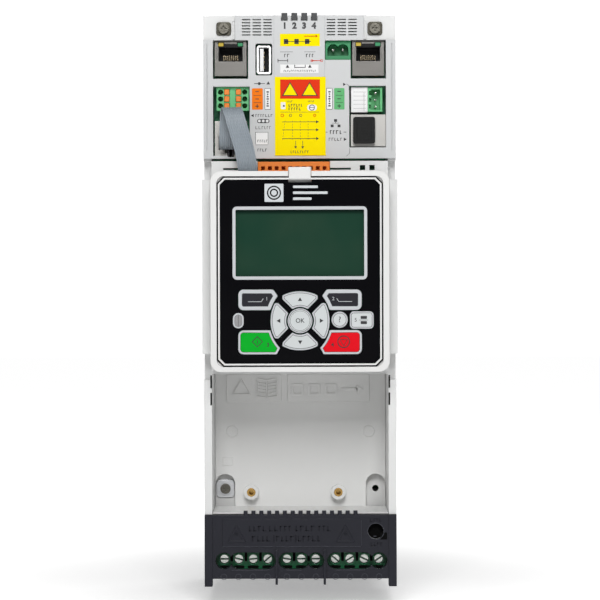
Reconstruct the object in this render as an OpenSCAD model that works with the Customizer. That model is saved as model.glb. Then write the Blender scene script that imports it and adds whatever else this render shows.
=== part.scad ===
// Book-type servo drive: steel tray and heatsink behind, plastic housing with two boards,
// connector plate above, removable keypad in the middle, option bay and power terminals below.
// Origin: centre of the rear mounting face. +Z is up, the front looks along -Y.

/* [Body] */
// Width over the side walls
body_w = 98.6; // [96:0.1:120]
// Height of the body, without the rear flanges
body_h = 290; // [285:1:350]
// Depth from the mounting face to the front of the connector plate
body_d = 150; // [145:1:182]
// Thickness of the side walls
wall_t = 4; // [3:0.1:4.8]
// Thickness of covers, shelves and thin walls
skin_t = 2.2; // [1.8:0.1:2.8]
// Height of the black terminal base
base_h = 33.7; // [32:0.1:41]
// Depth of the option bay
bay_d = 45; // [37:1:54]

/* [Rear tray and mounting] */
// How much narrower than the body the steel tray is at each side
tray_inset = 1.8; // [1.2:0.1:2.6]
// Sheet thickness of the tray
tray_t = 2; // [1.5:0.1:2.4]
// How far each flange stands beyond the body
flange_h = 13; // [11:0.5:16]
// Radius of the mounting holes, for M5 screws
mount_r = 2.75; // [2.25:0.05:3.3]
// Spacing of the mounting holes across
mount_dx = 70; // [58:1:84]

/* [Cooling] */
// Depth of the heatsink with its base
sink_d = 56; // [54:1:68]
// Thickness of the heatsink base
sink_base_t = 6; // [5:0.5:7]
// Number of fins
fin_count = 15; // [11:1:18]
// Thickness of a fin
fin_t = 1.6; // [1.3:0.1:1.9]
// Side of the square fan
fan_side = 50; // [42:1:52]
// Thickness of the fan
fan_t = 15; // [12:1:18]
// Number of fan blades
blade_count = 7; // [5:1:9]

/* [Connector plate] */
// Height of the connector plate
face_h = 73.4; // [73:0.1:88]
// Width of the modular jack shield
jack_w = 16.4; // [15.5:0.1:17]
// Height of the modular jack shield
jack_h = 18; // [16.8:0.1:18.4]
// Pitch of the indicator light pipes
led_pitch = 5.1; // [4.5:0.1:6.1]

/* [Keypad] */
// Width of the keypad
pad_w = 90.6; // [88:0.1:109]
// Height of the keypad
pad_h = 101.6; // [98:0.1:105]
// Depth of the keypad
pad_d = 15.7; // [13.2:0.1:18.8]
// Travel of a key
key_travel = 0.8; // [0.6:0.05:1]
// Radius of the round middle key
ok_r = 6.3; // [5.2:0.05:6.6]

/* [Power terminals] */
// Pitch of the clamp screws
clamp_pitch = 7.45; // [6.2:0.05:7.6]
// Radius of a clamp screw head
clamp_r = 2.2; // [1.9:0.05:2.6]

/* [Hidden] */
$fn = 48;
gap = 0.3;
fit = 0.2;

// Levels from the rear to the front; the front looks along -Y
sink_front = -tray_t - sink_d;
face_y = -body_d;
face_t = 2.3;
wall_front = face_y + 1;
floor_y = face_y + bay_d;
power_y = sink_front - 8;
board_t = 1.6;
control_y = face_y + 14;
jack_y = face_y + face_t + gap;
jack_d = control_y - jack_y;
carrier_y = face_y - 6;
carrier_t = 2.3;
pad_back = carrier_y - gap;
pad_y = pad_back - pad_d;

// Heights
body_top = body_h / 2;
body_bottom = -body_h / 2;
face_bottom = body_top - face_h;
carrier_top = face_bottom - 1.6;
carrier_h = 107;
carrier_bottom = carrier_top - carrier_h;
base_top = body_bottom + base_h;
inner_w = body_w - 2 * wall_t;
pad_z = carrier_top - 56.6;

// Rear tray, fan and heatsink
tray_w = body_w - 2 * tray_inset;
flange_z = body_h / 2 + 6;
cheek_t = 1.5;
fan_y = -tray_t - 1 - fan_side / 2;
fan_z0 = body_bottom + 5;
shelf_z = fan_z0 + fan_t;
fan_bore_r = fan_side / 2 - 1.6;
fan_hole_d = fan_side * 0.8;
hub_r = 11;
sink_w = tray_w - 2 * cheek_t - 1;
sink_z0 = shelf_z + cheek_t + 4;
sink_z1 = body_top - 5;

// Tall parts on the power board, over the lower end of the carrier
relay_x = -24;
relay_z = carrier_bottom + 57;
filter_x = -28;
filter_z = carrier_bottom + 17;
supply_x = 30;
supply_z = carrier_bottom + 127;
row_z = carrier_bottom + 97;
choke_x = 5;
choke_z = carrier_bottom + 133;
module_z = carrier_bottom + 37;

// Connector plate
jack_cut_w = jack_w + 1.7;
jack_cut_h = jack_h + 1.8;
port_x = inner_w / 2 - jack_cut_w / 2 - 0.9;
port_z = body_top - 21.8;
port_cut_z = port_z - 0.7;
usb_x = port_x - 17.1;
header2_x = port_x - 15.5;
header2_z = body_top - 17.8;
low_cut_w = jack_cut_w + 0.7;
left_cut_h = 35.5;
left_cut_z = face_bottom + 1.5 + left_cut_h / 2;
spring_z = left_cut_z + 11.6;
pad_port_z = left_cut_z - 8.75;
right_cut_h = 31.6;
right_cut_z = left_cut_z + 2.2;
block_z = right_cut_z + 8.8;
lan_z = right_cut_z - 7;
marker_x = port_x - 4.9;
header3_x = port_x + 3.5;
corner_w = 12;
corner_h = 12.5;
tab_x = port_x + 3.5;
tab_z = body_top - 6.6;
vent_x = 21.8;

// Spring terminal
wire_pitch = 3.54;
wire_r = 1.33;
wire_dx = 6.2;
lever_dx = 3;
lever_w = 2.5;
lever_h = 2.7;
lever_travel = 1;

// Carrier and its terminal strip
strip_w = 36.7;
strip_x = -3;
strip_h = 12;
strip_pitch = 3.5;
strip_count = 10;
wing_top = carrier_top - 9.4;
wing_bottom = carrier_bottom + 8.5;
wing_y = carrier_y + 16;
peg_dx = 30;
peg_dz = 34;
peg_r = 2;

// Keypad face
frame_t = 5;
panel_w = pad_w - 9.7;
panel_h = pad_h - 8.6;
panel_y = pad_y + 0.5;
panel_t = 1.5;
panel_cut = 2.7;
seat_rim = 1.7;
shell_w = pad_w - 8.6;
shell_h = pad_h - 9.6;
lcd_w = 65.1;
lcd_h = 33.8;
lcd_z = pad_z + 14.4;
cross_z = pad_z - 24.9;
key_gap = 0.25;
arrow_in = ok_r + 0.75;
arrow_out = 14.9;
arrow_half = 8.9;
bulge_r = 19.4;
side_clear = 0.7;
side_out = 31.2;
key_y = pad_y - 0.1;
key_t = 3;
soft_z0 = 5.4;
soft_z1 = 15.8;
soft_edge = [[15.4, 3], [10.8, 12.1], [14.6, 17.2]];
run_z0 = -16.9;
run_z1 = -4.8;
run_edge = [[12.6, -18.4], [9.8, -13], [14.9, -3]];
help_x = 20;
help_z = cross_z + 0.5;
help_r = 4.1;
mode_x = 31.2;
mode_z = cross_z + 0.3;
mode_w = 12;
mode_h = 8.8;
latch_w = 11.2;
latch_h = 5.9;
latch_z = pad_z + pad_h / 2 - 0.9;
latch_travel = 1.2;

// Option bay
boss_x = 23;
boss_z = base_top + 8.8;
boss_r = 3.9;
boss_h = 5;
insert_r = 2.3;
insert_hole_r = 1.25;
insert_d = 8;
arch_r = 5.2;
arch_x = inner_w / 2 - arch_r - 0.3;
arch_z = base_top + 13;
pocket_d = 5.5;
earth_z = base_top + 10.2;

// Terminal base
clamp_z = base_top - 23.5;
clamp_starts = [[-39.4, 4], [-7.1, 3], [17.9, 4]];
clamp_y = face_y + 10;
window_r = 4.3;
band_top = clamp_z + 5.6;
socket_x = inner_w / 2 - 6.7;
socket_z = base_top - 8.5;
tooth_pitch = 4.03;
tooth_count = 15;
tooth_d = 3;
block_y = clamp_y + 0.4;
block_d = 20;
rib_x = 12.35;

// Ribbon cable, chosen by hand: from the modular plug, over one fold, to the keypad
ribbon_w = 10;
ribbon_t = 1;
ribbon_x = -36;
route = [
    [-36, -153, 76.5], [-36, -156.5, 78], [-36, -158.8, 82], [-35.9, -159.8, 87],
    [-35.6, -160.8, 91.5], [-35.2, -163, 94.6], [-34.6, -166, 95], [-33.8, -168.2, 92.5],
    [-32.6, -169.3, 88], [-31, -169.4, 82.5], [-29.2, -168.6, 77], [-27.6, -167, 71],
    [-26.5, -165, 65.5], [-26, -163.4, 60.4]];
ribbon_end_x = -26;
ribbon_end_y = -163.4;

// ---- Shared shapes ----

// Flat rectangle with round corners, centred
module rounded_2d(w, h, r) {
    square([w - 2 * r, h], center = true);
    square([w, h - 2 * r], center = true);
    for (sx = [-1, 1], sz = [-1, 1])
        translate([sx * (w / 2 - r), sz * (h / 2 - r)])
            circle(r = r);
}

// Stands a flat outline up: its front lies at y and its back at y + t
module upright(x, z, y, t) {
    translate([x, y + t, z])
        rotate([90, 0, 0])
            linear_extrude(t)
                children();
}

// Block with its front at y and its back at y + d, centred on x and z
module block(x, z, y, w, h, d) {
    translate([x - w / 2, y, z - h / 2])
        cube([w, d, h]);
}

// Block between two heights
module tall(x, z0, z1, y, w, d) {
    block(x, (z0 + z1) / 2, y, w, z1 - z0, d);
}

// Rod or bore along Y, with its front at y
module rod(x, z, y, d, r) {
    upright(x, z, y, d)
        circle(r = r);
}

// Rod or bore along Z
module post(x, y, z0, h, r) {
    translate([x, y, z0])
        cylinder(r = r, h = h);
}

// Flat triangle standing on its base
module triangle_2d(w, h) {
    polygon([[-w / 2, -h / 2], [w / 2, -h / 2], [0, h / 2]]);
}

// ---- Rear tray and cooling ----

module chassis_tray() {
    cheek_x = tray_w / 2 - cheek_t / 2;
    color("gainsboro")
        difference() {
            union() {
                upright(0, 0, -tray_t, tray_t)
                    rounded_2d(tray_w, body_h + 2 * flange_h, 3);
                for (s = [-1, 1])
                    tall(s * cheek_x, body_bottom + 4, body_top - 4, sink_front, cheek_t, sink_d);
                tall(0, shelf_z, shelf_z + cheek_t, sink_front, tray_w, sink_d);
            }
            for (sx = [-1, 1], sz = [-1, 1])
                rod(sx * mount_dx / 2, sz * flange_z, -tray_t - 1, tray_t + 2, mount_r);
            post(0, fan_y, shelf_z - 1, cheek_t + 2, fan_bore_r);
            fan_holes(shelf_z - 1, cheek_t + 2);
        }
}

module fan_holes(z0, h) {
    for (sx = [-1, 1], sy = [-1, 1])
        post(sx * fan_hole_d / 2, fan_y + sy * fan_hole_d / 2, z0, h, 2.1);
}

module heatsink() {
    pitch = (sink_w - fin_t) / (fin_count - 1);
    fin_d = sink_d - sink_base_t - 1;
    color("darkgray")
        translate([0, 0, sink_z0])
            linear_extrude(sink_z1 - sink_z0) {
                translate([-sink_w / 2, sink_front])
                    square([sink_w, sink_base_t]);
                for (i = [0 : fin_count - 1])
                    translate([-sink_w / 2 + i * pitch, sink_front + sink_base_t - 0.01])
                        square([fin_t, fin_d]);
            }
}

module fan_frame() {
    color("dimgray")
        difference() {
            union() {
                difference() {
                    translate([0, fan_y, fan_z0])
                        linear_extrude(fan_t)
                            rounded_2d(fan_side, fan_side, 3);
                    post(0, fan_y, fan_z0 - 1, fan_t + 2, fan_bore_r);
                }
                post(0, fan_y, fan_z0, 1.5, hub_r);
                for (a = [45 : 90 : 315])
                    translate([0, fan_y, fan_z0])
                        rotate([0, 0, a])
                            translate([0, -1, 0])
                                cube([fan_bore_r + 1, 2, 1.5]);
            }
            fan_holes(fan_z0 - 1, fan_t + 2);
        }
}

module fan_rotor() {
    rotor_z0 = fan_z0 + 2;
    rotor_h = fan_t - 3;
    color("black") {
        post(0, fan_y, rotor_z0, rotor_h, hub_r - 0.5);
        translate([0, fan_y, rotor_z0])
            intersection() {
                cylinder(r = fan_bore_r - 0.7, h = rotor_h);
                for (i = [0 : blade_count - 1])
                    rotate([0, 0, i * 360 / blade_count])
                        translate([hub_r - 2, 0, rotor_h / 2])
                            rotate([35, 0, 0])
                                translate([0, -0.7, -rotor_h])
                                    cube([fan_bore_r, 1.4, 2 * rotor_h]);
            }
    }
}

module fan_guard() {
    guard_t = 1.4;
    guard_z = fan_z0 - guard_t;
    bar = fan_hole_d * sqrt(2) - 4;
    color("silver")
        translate([0, fan_y, guard_z])
            linear_extrude(guard_t) {
                for (r = [8, 14, 20])
                    difference() {
                        circle(r = r);
                        circle(r = r - 1.2);
                    }
                for (a = [45, 135])
                    rotate(a)
                        square([bar, 1.4], center = true);
                for (sx = [-1, 1], sy = [-1, 1])
                    translate([sx * fan_hole_d / 2, sy * fan_hole_d / 2])
                        difference() {
                            circle(r = 3.6);
                            circle(r = 2.1);
                        }
            }
}

// ---- Plastic housing ----

module main_housing() {
    wall_x = body_w / 2 - wall_t / 2;
    wall_d = sink_front - wall_front;
    color("whitesmoke")
        difference() {
            union() {
                for (s = [-1, 1])
                    tall(s * wall_x, base_top + fit, body_top, wall_front, wall_t, wall_d);
                tall(0, body_top - 2.5, body_top, jack_y, body_w, sink_front - jack_y);
                tall(0, carrier_bottom - skin_t, carrier_bottom - gap, face_y + 1, body_w - 1,
                    bay_d - 1);
                for (s = [-1, 1])
                    tall(s * (body_w / 2 - corner_w / 2 - 2), body_top - corner_h, body_top - 1,
                        jack_y, corner_w + 2, 4);
            }
            // Room for the connector plate and for the wings of the carrier
            tall(0, face_bottom - 1.2, body_top + 1, face_y, body_w + 2, face_t + gap);
            tall(0, wing_bottom - 13.4, carrier_top + 0.5, face_y, body_w + 2, wing_y - face_y);
            // Snap slots beside the option bay
            for (z = [[9.6, 5.2], [3, 4.4]])
                tall(0, carrier_bottom - 8.7 - z[0], carrier_bottom - 8.7 - z[0] + z[1],
                    wall_front + 1.6, body_w + 2, 7);
            // Air slots in the top
            for (i = [-7 : 7], row = [0 : 2])
                translate([i * 5.6 - 1.3, sink_front - 8 - 24 * (row + 1) + 6, body_top - 4])
                    cube([2.6, 18, 6]);
            for (s = [-1, 1])
                rod(s * tab_x, tab_z, jack_y - 1, 6, 2);
            // Side air slots over the power board
            for (i = [0 : 11])
                tall(0, carrier_top - 6 - i * 7, carrier_top - 3 - i * 7, sink_front - 34,
                    body_w + 2, 22);
        }
}

module light_pipe_x(i) {
    translate([(i - 1.5) * led_pitch, 0, 0])
        children();
}

module connector_faceplate() {
    raised = 0.4;
    color("gainsboro")
        difference() {
            union() {
                tall(0, face_bottom, body_top, face_y, body_w, face_t);
                tall(0, body_top - 31.6, body_top, face_y - raised, 26, raised + 1);
            }
            // Corners that show the earth tabs
            for (s = [-1, 1])
                tall(s * (body_w / 2), body_top - corner_h, body_top + 1, face_y - 1,
                    2 * (body_w / 2 - 33), face_t + 2);
            for (i = [0 : 3])
                light_pipe_x(i)
                    tall(0, body_top - 2.7, body_top + 1, face_y - 1, 3 + 2 * fit, face_t + 2);
            // Vent grids
            for (s = [-1, 1], c = [-1 : 1], row = [0 : 5])
                block(s * vent_x + c * 5.5, body_top - 2.1 - row * 1.56, face_y - 1, 4.3, 0.6,
                    face_t + 2);
            // Modular jacks, serial port and headers
            for (s = [-1, 1])
                block(s * port_x, port_cut_z, face_y - 1, jack_cut_w, jack_cut_h, face_t + 2);
            upright(-usb_x, port_cut_z, face_y - 1, face_t + 2)
                rounded_2d(8.6, 16.4, 1);
            block(header2_x, header2_z, face_y - 1, 13.4, 10, face_t + 2);
            block(-port_x + 0.4, left_cut_z, face_y - 1, low_cut_w, left_cut_h, face_t + 2);
            block(port_x - 0.4, right_cut_z, face_y - 1, low_cut_w, right_cut_h, face_t + 2);
            // Shadow grooves beside the side edges
            for (s = [-1, 1])
                tall(s * (body_w / 2 - 1.9), face_bottom + 4, body_top - corner_h - 2, face_y - 1,
                    0.5, 1.4);
        }
}

module keypad_carrier() {
    rim_t = 2;
    wing_x = body_w / 2 + 0.6 - 2;
    color("whitesmoke")
        difference() {
            union() {
                tall(0, carrier_bottom, carrier_top, carrier_y, inner_w - 0.4, carrier_t);
                tall(0, carrier_top - rim_t, carrier_top, carrier_y, inner_w - 0.4, 7.5);
                tall(0, carrier_bottom, carrier_bottom + rim_t, carrier_y, inner_w - 0.4, 7.5);
                for (s = [-1, 1]) {
                    tall(s * (inner_w / 2 - 1.2), carrier_bottom, carrier_top, carrier_y, rim_t,
                        wing_y - gap - carrier_y);
                    tall(s * wing_x, wing_bottom, wing_top, carrier_y, 4, wing_y - gap - carrier_y);
                    tall(s * (inner_w / 2 + 0.5), wing_bottom + 4, wing_top - 4, carrier_y + 3, 5,
                        6);
                }
            }
            // Opening of the terminal strip, reaching the upper edge
            tall(strip_x, carrier_top - strip_h - fit, carrier_top + 1, carrier_y - 1,
                strip_w + 2 * fit, 12);
            // Slots and test holes beside it
            block(-34.9, carrier_top - 4, carrier_y - 1, 8.2, 1, 4);
            block(20.8, carrier_top - 4, carrier_y - 1, 10.6, 1, 4);
            for (x = [32.1, 37])
                block(x, carrier_top - 3.4, carrier_y - 1, 2.7, 2.6, 4);
            // Holes that locate the keypad
            for (sx = [-1, 1], sz = [-1, 1])
                rod(sx * peg_dx, pad_z + sz * peg_dz, carrier_y - 1, 4, peg_r + gap);
        }
}

// Outline of the arched recesses beside the option bay
module arch_2d(r, up) {
    circle(r = r);
    translate([-r, -up])
        square([2 * r, up]);
}

module option_bay_floor() {
    floor_h = carrier_bottom - skin_t - gap - base_top - gap;
    floor_z = base_top + gap + floor_h / 2;
    arch_up = arch_z - base_top - gap;
    shelf_t = 1;
    shelf_y = face_y + tooth_d + gap;
    color("whitesmoke")
        difference() {
            union() {
                block(0, floor_z, floor_y, inner_w - 2 * fit, floor_h, skin_t);
                for (s = [-1, 1])
                    intersection() {
                        upright(s * (arch_x - 0.2), arch_z, floor_y, pocket_d + 1.5)
                            arch_2d(arch_r + 1.5, arch_up);
                        block(0, floor_z, floor_y, inner_w - 2 * fit, floor_h, 20);
                    }
                // Shelf that lies on the terminal base, up to the comb
                block(0, base_top + gap + shelf_t / 2, shelf_y, inner_w - 2 * fit, shelf_t,
                    floor_y - shelf_y + 1);
                for (s = [-1, 1])
                    rod(s * boss_x - 3, boss_z, floor_y - boss_h, boss_h + skin_t, boss_r);
                for (s = [-1, 1])
                    rod(s * boss_x - 3, boss_z, floor_y + 1, 6, boss_r);
                // Raised plates and moulding marks
                upright(-24.6, carrier_bottom - 10.6, floor_y - 0.5, 1)
                    rounded_2d(29, 14.6, 1.2);
                upright(15, carrier_bottom - 10.6, floor_y - 0.5, 1)
                    rounded_2d(43.2, 14.6, 1.2);
                for (s = [-1, 1])
                    rod(s * 36.2, carrier_bottom - 33.6, floor_y - 0.3, 1, 3.1);
            }
            for (s = [-1, 1]) {
                upright(s * arch_x, arch_z, floor_y - 1, pocket_d + 1)
                    arch_2d(arch_r, arch_up + 1);
                rod(s * boss_x - 3, boss_z, floor_y - boss_h - 1, insert_d + 1, insert_r);
            }
            rod(arch_x, earth_z, floor_y, 12, 1.7);
            rod(-arch_x, earth_z, floor_y, 12, 2);
        }
}

module brass_inserts() {
    color("goldenrod")
        for (s = [-1, 1])
            difference() {
                rod(s * boss_x - 3, boss_z, floor_y - boss_h, insert_d, insert_r - 0.02);
                rod(s * boss_x - 3, boss_z, floor_y - boss_h - 1, insert_d, insert_hole_r);
            }
}

// ---- Terminal base ----

module clamp_windows(y, d, r) {
    for (group = clamp_starts) {
        last = group[0] + (group[1] - 1) * clamp_pitch;
        // One end of each group is a single round window, the rest share a slot
        single = group[1] == 4 && group[0] < 0 ? group[0] : last;
        from = group[0] == single ? group[0] + clamp_pitch : group[0];
        to = group[0] == single ? last : last - clamp_pitch;
        rod(single, clamp_z, y, d, r);
        rod(from, clamp_z, y, d, r);
        rod(to, clamp_z, y, d, r);
        block((from + to) / 2, clamp_z, y, to - from, 2 * r, d);
    }
}

module terminal_base() {
    side_x0 = body_w / 2 - skin_t / 2;
    full_d = sink_front - face_y;
    cable_gap_y = clamp_y + 3;
    lip_z = body_bottom + 6;
    color([0.17, 0.17, 0.2])
        difference() {
            union() {
                tall(0, lip_z - 2, base_top, face_y, body_w, skin_t);
                tall(0, lip_z, band_top, face_y, body_w - 1, 9.4);
                tall(0, body_bottom + 1, lip_z + 1, face_y, body_w - 1, 4);
                tall(0, base_top - skin_t, base_top, face_y, body_w, full_d);
                for (s = [-1, 1]) {
                    tall(s * side_x0, body_bottom, base_top, face_y, skin_t, full_d);
                    tall(s * (body_w / 2 - 2), body_bottom - 3, base_top, face_y - 0.6, 4, 10);
                    tall(s * rib_x, body_bottom - 2, band_top, face_y - 1.2, 1.2, 8);
                }
                tall(0, body_bottom, body_bottom + skin_t, face_y + 42, body_w, full_d - 42);
                // Comb teeth in front of the bay
                for (i = [0 : tooth_count - 1])
                    tall((i - (tooth_count - 1) / 2) * tooth_pitch, base_top - 1,
                        base_top + 2.1, face_y, 2.1, tooth_d);
                // Raised panel with two plain triangles
                upright(-4.4, base_top - 9.2, face_y - 0.4, 1)
                    rounded_2d(71.4, 14.3, 1);
                for (x = [-32.8, 23])
                    upright(x, base_top - 9.6, face_y - 0.8, 1)
                        difference() {
                            triangle_2d(9.6, 9);
                            translate([0, -0.5])
                                triangle_2d(6.6, 6);
                        }
            }
            clamp_windows(face_y - 2, 14, window_r);
            rod(socket_x, socket_z, face_y - 2, 6, 4.1);
        }
}

module power_terminal_blocks() {
    block_h = 15;
    end_w = window_r + 0.3;
    color("mediumseagreen")
        for (group = clamp_starts) {
            mid = group[0] + (group[1] - 1) * clamp_pitch / 2;
            difference() {
                block(mid, clamp_z - 0.2, block_y, (group[1] - 1) * clamp_pitch + 2 * end_w,
                    block_h, block_d);
                for (i = [0 : group[1] - 1]) {
                    x = group[0] + i * clamp_pitch;
                    rod(x, clamp_z, block_y - 1, 5, clamp_r + 0.4);
                    rod(x, clamp_z, block_y + 3, 9, 1.6);
                    post(x, block_y + 12, clamp_z - block_h, block_h, 2.3);
                }
            }
        }
}

module power_clamp_screws() {
    angles = [0, 15, -5, -40, 10, 0, 0, 40, -30, 25, -35];
    first = [0, 4, 7];
    color("silver")
        for (g = [0 : 2], i = [0 : clamp_starts[g][1] - 1]) {
            x = clamp_starts[g][0] + i * clamp_pitch;
            difference() {
                union() {
                    rod(x, clamp_z, block_y + 1, 3, clamp_r);
                    rod(x, clamp_z, block_y + 3, 6, 1.5);
                }
                translate([x, block_y + 1, clamp_z])
                    rotate([0, angles[first[g] + i], 0])
                        block(0, 0, -1, 2 * clamp_r + 1, 0.7, 2);
            }
        }
}

// ---- Boards inside ----

module board_holes(y, z_list, t) {
    for (s = [-1, 1], z = z_list)
        rod(s * standoff_x(), z, y - 1, t + 2, 1.6);
}

function standoff_x() = inner_w / 2 - 5.5;
function power_standoffs() = [base_top + 16, body_top - 10];
function control_standoffs() = [carrier_bottom + 8, body_top - 34];

module power_board() {
    chip_y = power_y - board_t;
    color("darkgreen")
        difference() {
            union() {
                tall(0, base_top + 8, body_top - 5, chip_y, inner_w - 2, board_t);
                block(relay_x, relay_z, chip_y - 16, 24, 30, 16.01);
                block(filter_x, filter_z, chip_y - 12, 16, 24, 12.01);
                block(supply_x, supply_z, chip_y - 15, 13, 29, 15.01);
                for (i = [0 : 3])
                    block(8 + 8 * i, row_z, chip_y - 11, 5.5, 13, 11.01);
            }
            board_holes(chip_y, power_standoffs(), board_t);
        }
}

module power_module() {
    color("dimgray")
        difference() {
            block(0, module_z, power_y, 60, 34, sink_front - power_y);
            for (s = [-1, 1])
                rod(s * 25, module_z, power_y - 1, 12, 2.2);
        }
}

module dc_link_capacitors() {
    can_h = power_y - board_t - floor_y - skin_t - 1;
    color("navy")
        for (x = [-14, 14], z = [-1, 1])
            rod(x, carrier_bottom - 30 + z * 14, power_y - board_t - can_h, can_h, 11);
}

module line_choke() {
    color("saddlebrown")
        translate([choke_x, power_y - board_t, choke_z])
            rotate([90, 0, 0])
                rotate_extrude()
                    translate([8, 0])
                        square([8, 14]);
}

module control_board() {
    color("seagreen")
        difference() {
            union() {
                tall(0, carrier_bottom + 3, body_top - 3.5, control_y, inner_w - 2, board_t);
                block(0, carrier_bottom + 137, control_y - 2.2, 22, 22, 2.21);
                block(4, carrier_bottom + 67, control_y - 1.8, 18, 12, 1.81);
                block(strip_x, carrier_top - 6, control_y - 9, strip_w - 2, 9, 9.01);
            }
            board_holes(control_y, control_standoffs(), board_t);
        }
}

module board_standoffs() {
    color("gold")
        for (s = [-1, 1]) {
            for (z = power_standoffs())
                rod(s * standoff_x(), z, power_y, sink_front - power_y, 2.8);
            for (z = control_standoffs())
                rod(s * standoff_x(), z, control_y + board_t,
                    power_y - board_t - control_y - board_t, 2.8);
        }
}

// ---- Ports ----

// Modular jack with its opening towards the upper edge, turned about Y by turn
module modular_jack(x, z, turn) {
    color("silver")
        translate([x, jack_y, z])
            rotate([0, turn, 0])
                difference() {
                    block(0, 0, 0, jack_w, jack_h, jack_d);
                    block(0, 2.2, -1, 12.4, 7.4, jack_d - 1);
                    block(0, 6.4, -1, 6.4, 2.2, jack_d - 1);
                }
}

module rj45_left() {
    modular_jack(-port_x, port_z, 0);
}

module rj45_right() {
    modular_jack(port_x, port_z, 0);
}

module rj45_keypad_port() {
    modular_jack(-port_x, pad_port_z, 180);
}

module rj45_lan() {
    modular_jack(port_x, lan_z, -90);
}

module dust_plug() {
    plug_x = port_x - 2.2;
    color([0.12, 0.12, 0.13]) {
        upright(plug_x, lan_z, jack_y - 3.6, 3.6 - fit)
            rounded_2d(11.2, 13.6, 1.2);
        block(plug_x, lan_z, jack_y - 1, 6.6, 11.6, 8);
    }
}

module usb_shell() {
    color("silver")
        difference() {
            union() {
                upright(-usb_x, port_cut_z, jack_y, 0.6)
                    rounded_2d(7.6, 15, 1.6);
                upright(-usb_x, port_cut_z, jack_y, jack_d)
                    rounded_2d(5.9, 13.3, 0.8);
            }
            upright(-usb_x, port_cut_z, jack_y - 1, jack_d)
                rounded_2d(5.1, 12.5, 0.5);
        }
}

module usb_tongue() {
    color("white")
        block(-usb_x - 1.1, port_cut_z, jack_y + 0.8, 1.9, 11.4, jack_d - 1.8 - 0.01);
}

function wire_z(row) = spring_z + (1 - row) * wire_pitch;

module spring_terminal() {
    color("mediumseagreen")
        difference() {
            block(-port_x + 1, spring_z, jack_y, 16.6, 12.1, jack_d);
            for (s = [-1, 1], row = [0 : 2]) {
                rod(-port_x + 1 + s * wire_dx, wire_z(row), jack_y - 1, 9, wire_r);
                block(-port_x + 1 + s * lever_dx, wire_z(row), jack_y - 1, lever_w + 2 * fit,
                    lever_h + 2 * fit, 7);
            }
        }
}

// Levers 1 to 3 run down the left column and 4 to 6 down the right one
module release_lever(index) {
    side = index <= 3 ? -1 : 1;
    row = (index - 1) % 3;
    color("darkorange")
        block(-port_x + 1 + side * lever_dx, wire_z(row), jack_y - 0.5, lever_w, lever_h, 5);
}

module header_2pin() {
    color("seagreen")
        difference() {
            block(header2_x, header2_z, jack_y, 13, 9.6, jack_d);
            for (s = [-1, 1])
                rod(header2_x + s * 2.5, header2_z + 0.4, jack_y - 1, 9, 2.9);
            block(header2_x, header2_z - 1.4, jack_y - 1, 10.8, 2.6, 9);
        }
}

module header_3pin() {
    color("mediumseagreen")
        difference() {
            block(header3_x, block_z, jack_y, 7.5, 12.3, jack_d);
            block(header3_x + 0.3, block_z, jack_y - 1, 4.6, 10.6, 9);
            for (row = [-1 : 1])
                block(header3_x - 1.5, block_z + row * 3.5, jack_y - 1, 3.2, 2.2, 9);
        }
}

module header_pins() {
    color("silver") {
        for (s = [-1, 1])
            block(header2_x + s * 2.5, header2_z + 0.4, jack_y + 1.5, 1, 1, 6.5);
        for (row = [-1 : 1])
            block(header3_x + 0.2, block_z + row * 3.5, jack_y + 1.5, 0.9, 0.9, 6.5);
    }
}

module marker_block() {
    color("white")
        block(marker_x + 0.3, block_z, jack_y - 0.2, 8.6, 13, jack_d + 0.2);
}

module earth_tabs() {
    color("darkgray") {
        for (s = [-1, 1])
            difference() {
                upright(s * tab_x, tab_z, jack_y - 1, 1)
                    rounded_2d(7.7, 7, 1.6);
                rod(s * tab_x, tab_z, jack_y - 2, 3, 2);
            }
        difference() {
            upright(-arch_x, earth_z, floor_y + pocket_d - 1, 1)
                rounded_2d(9.6, 9.4, 2);
            rod(-arch_x, earth_z, floor_y + pocket_d - 2, 3, 2);
        }
    }
}

// Pan-head screw along Y with a cross recess, its head on the plane y
module pan_screw(x, z, y, length) {
    difference() {
        union() {
            rod(x, z, y - 1.8, 1.8, 2.7);
            rod(x, z, y - 0.1, length, 1.8);
        }
        block(x, z, y - 2.8, 3, 0.7, 1.9);
        block(x, z, y - 2.8, 0.7, 3, 1.9);
    }
}

module earth_screws() {
    color("silver") {
        for (s = [-1, 1])
            pan_screw(s * tab_x, tab_z, jack_y - 1, 4.5);
        pan_screw(-arch_x, earth_z, floor_y + pocket_d - 1, 4);
    }
}

module led_light_pipes() {
    color("dimgray")
        for (i = [0 : 3])
            light_pipe_x(i) {
                tall(0, body_top - 2.5, body_top + 1.3, face_y - 0.7, 3, face_t + 0.7);
                tall(0, body_top + fit, body_top + 1.3, face_y - 0.7, 3, 10);
            }
}

module strip_terminal() {
    color("orange")
        difference() {
            tall(strip_x, carrier_top - strip_h, carrier_top - 0.3, carrier_y + 0.4, strip_w, 9);
            for (i = [0 : strip_count - 1])
                block(strip_x + (i - (strip_count - 1) / 2) * strip_pitch, carrier_top - 3.6,
                    carrier_y - 1, 1.9, 1.9, 7);
        }
}

// ---- Ribbon ----

module ribbon_plug() {
    color("dimgray")
        difference() {
            union() {
                block(-port_x, pad_port_z - 2.2, jack_y - 3.4, 9.4, 6.6, 11);
                block(-port_x, pad_port_z - 2.2, jack_y - 5.4, 6.6, 5, 2.5);
            }
            block(-port_x, pad_port_z - 2.2, jack_y - 6, 20, ribbon_t, 0.6);
        }
}

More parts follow.
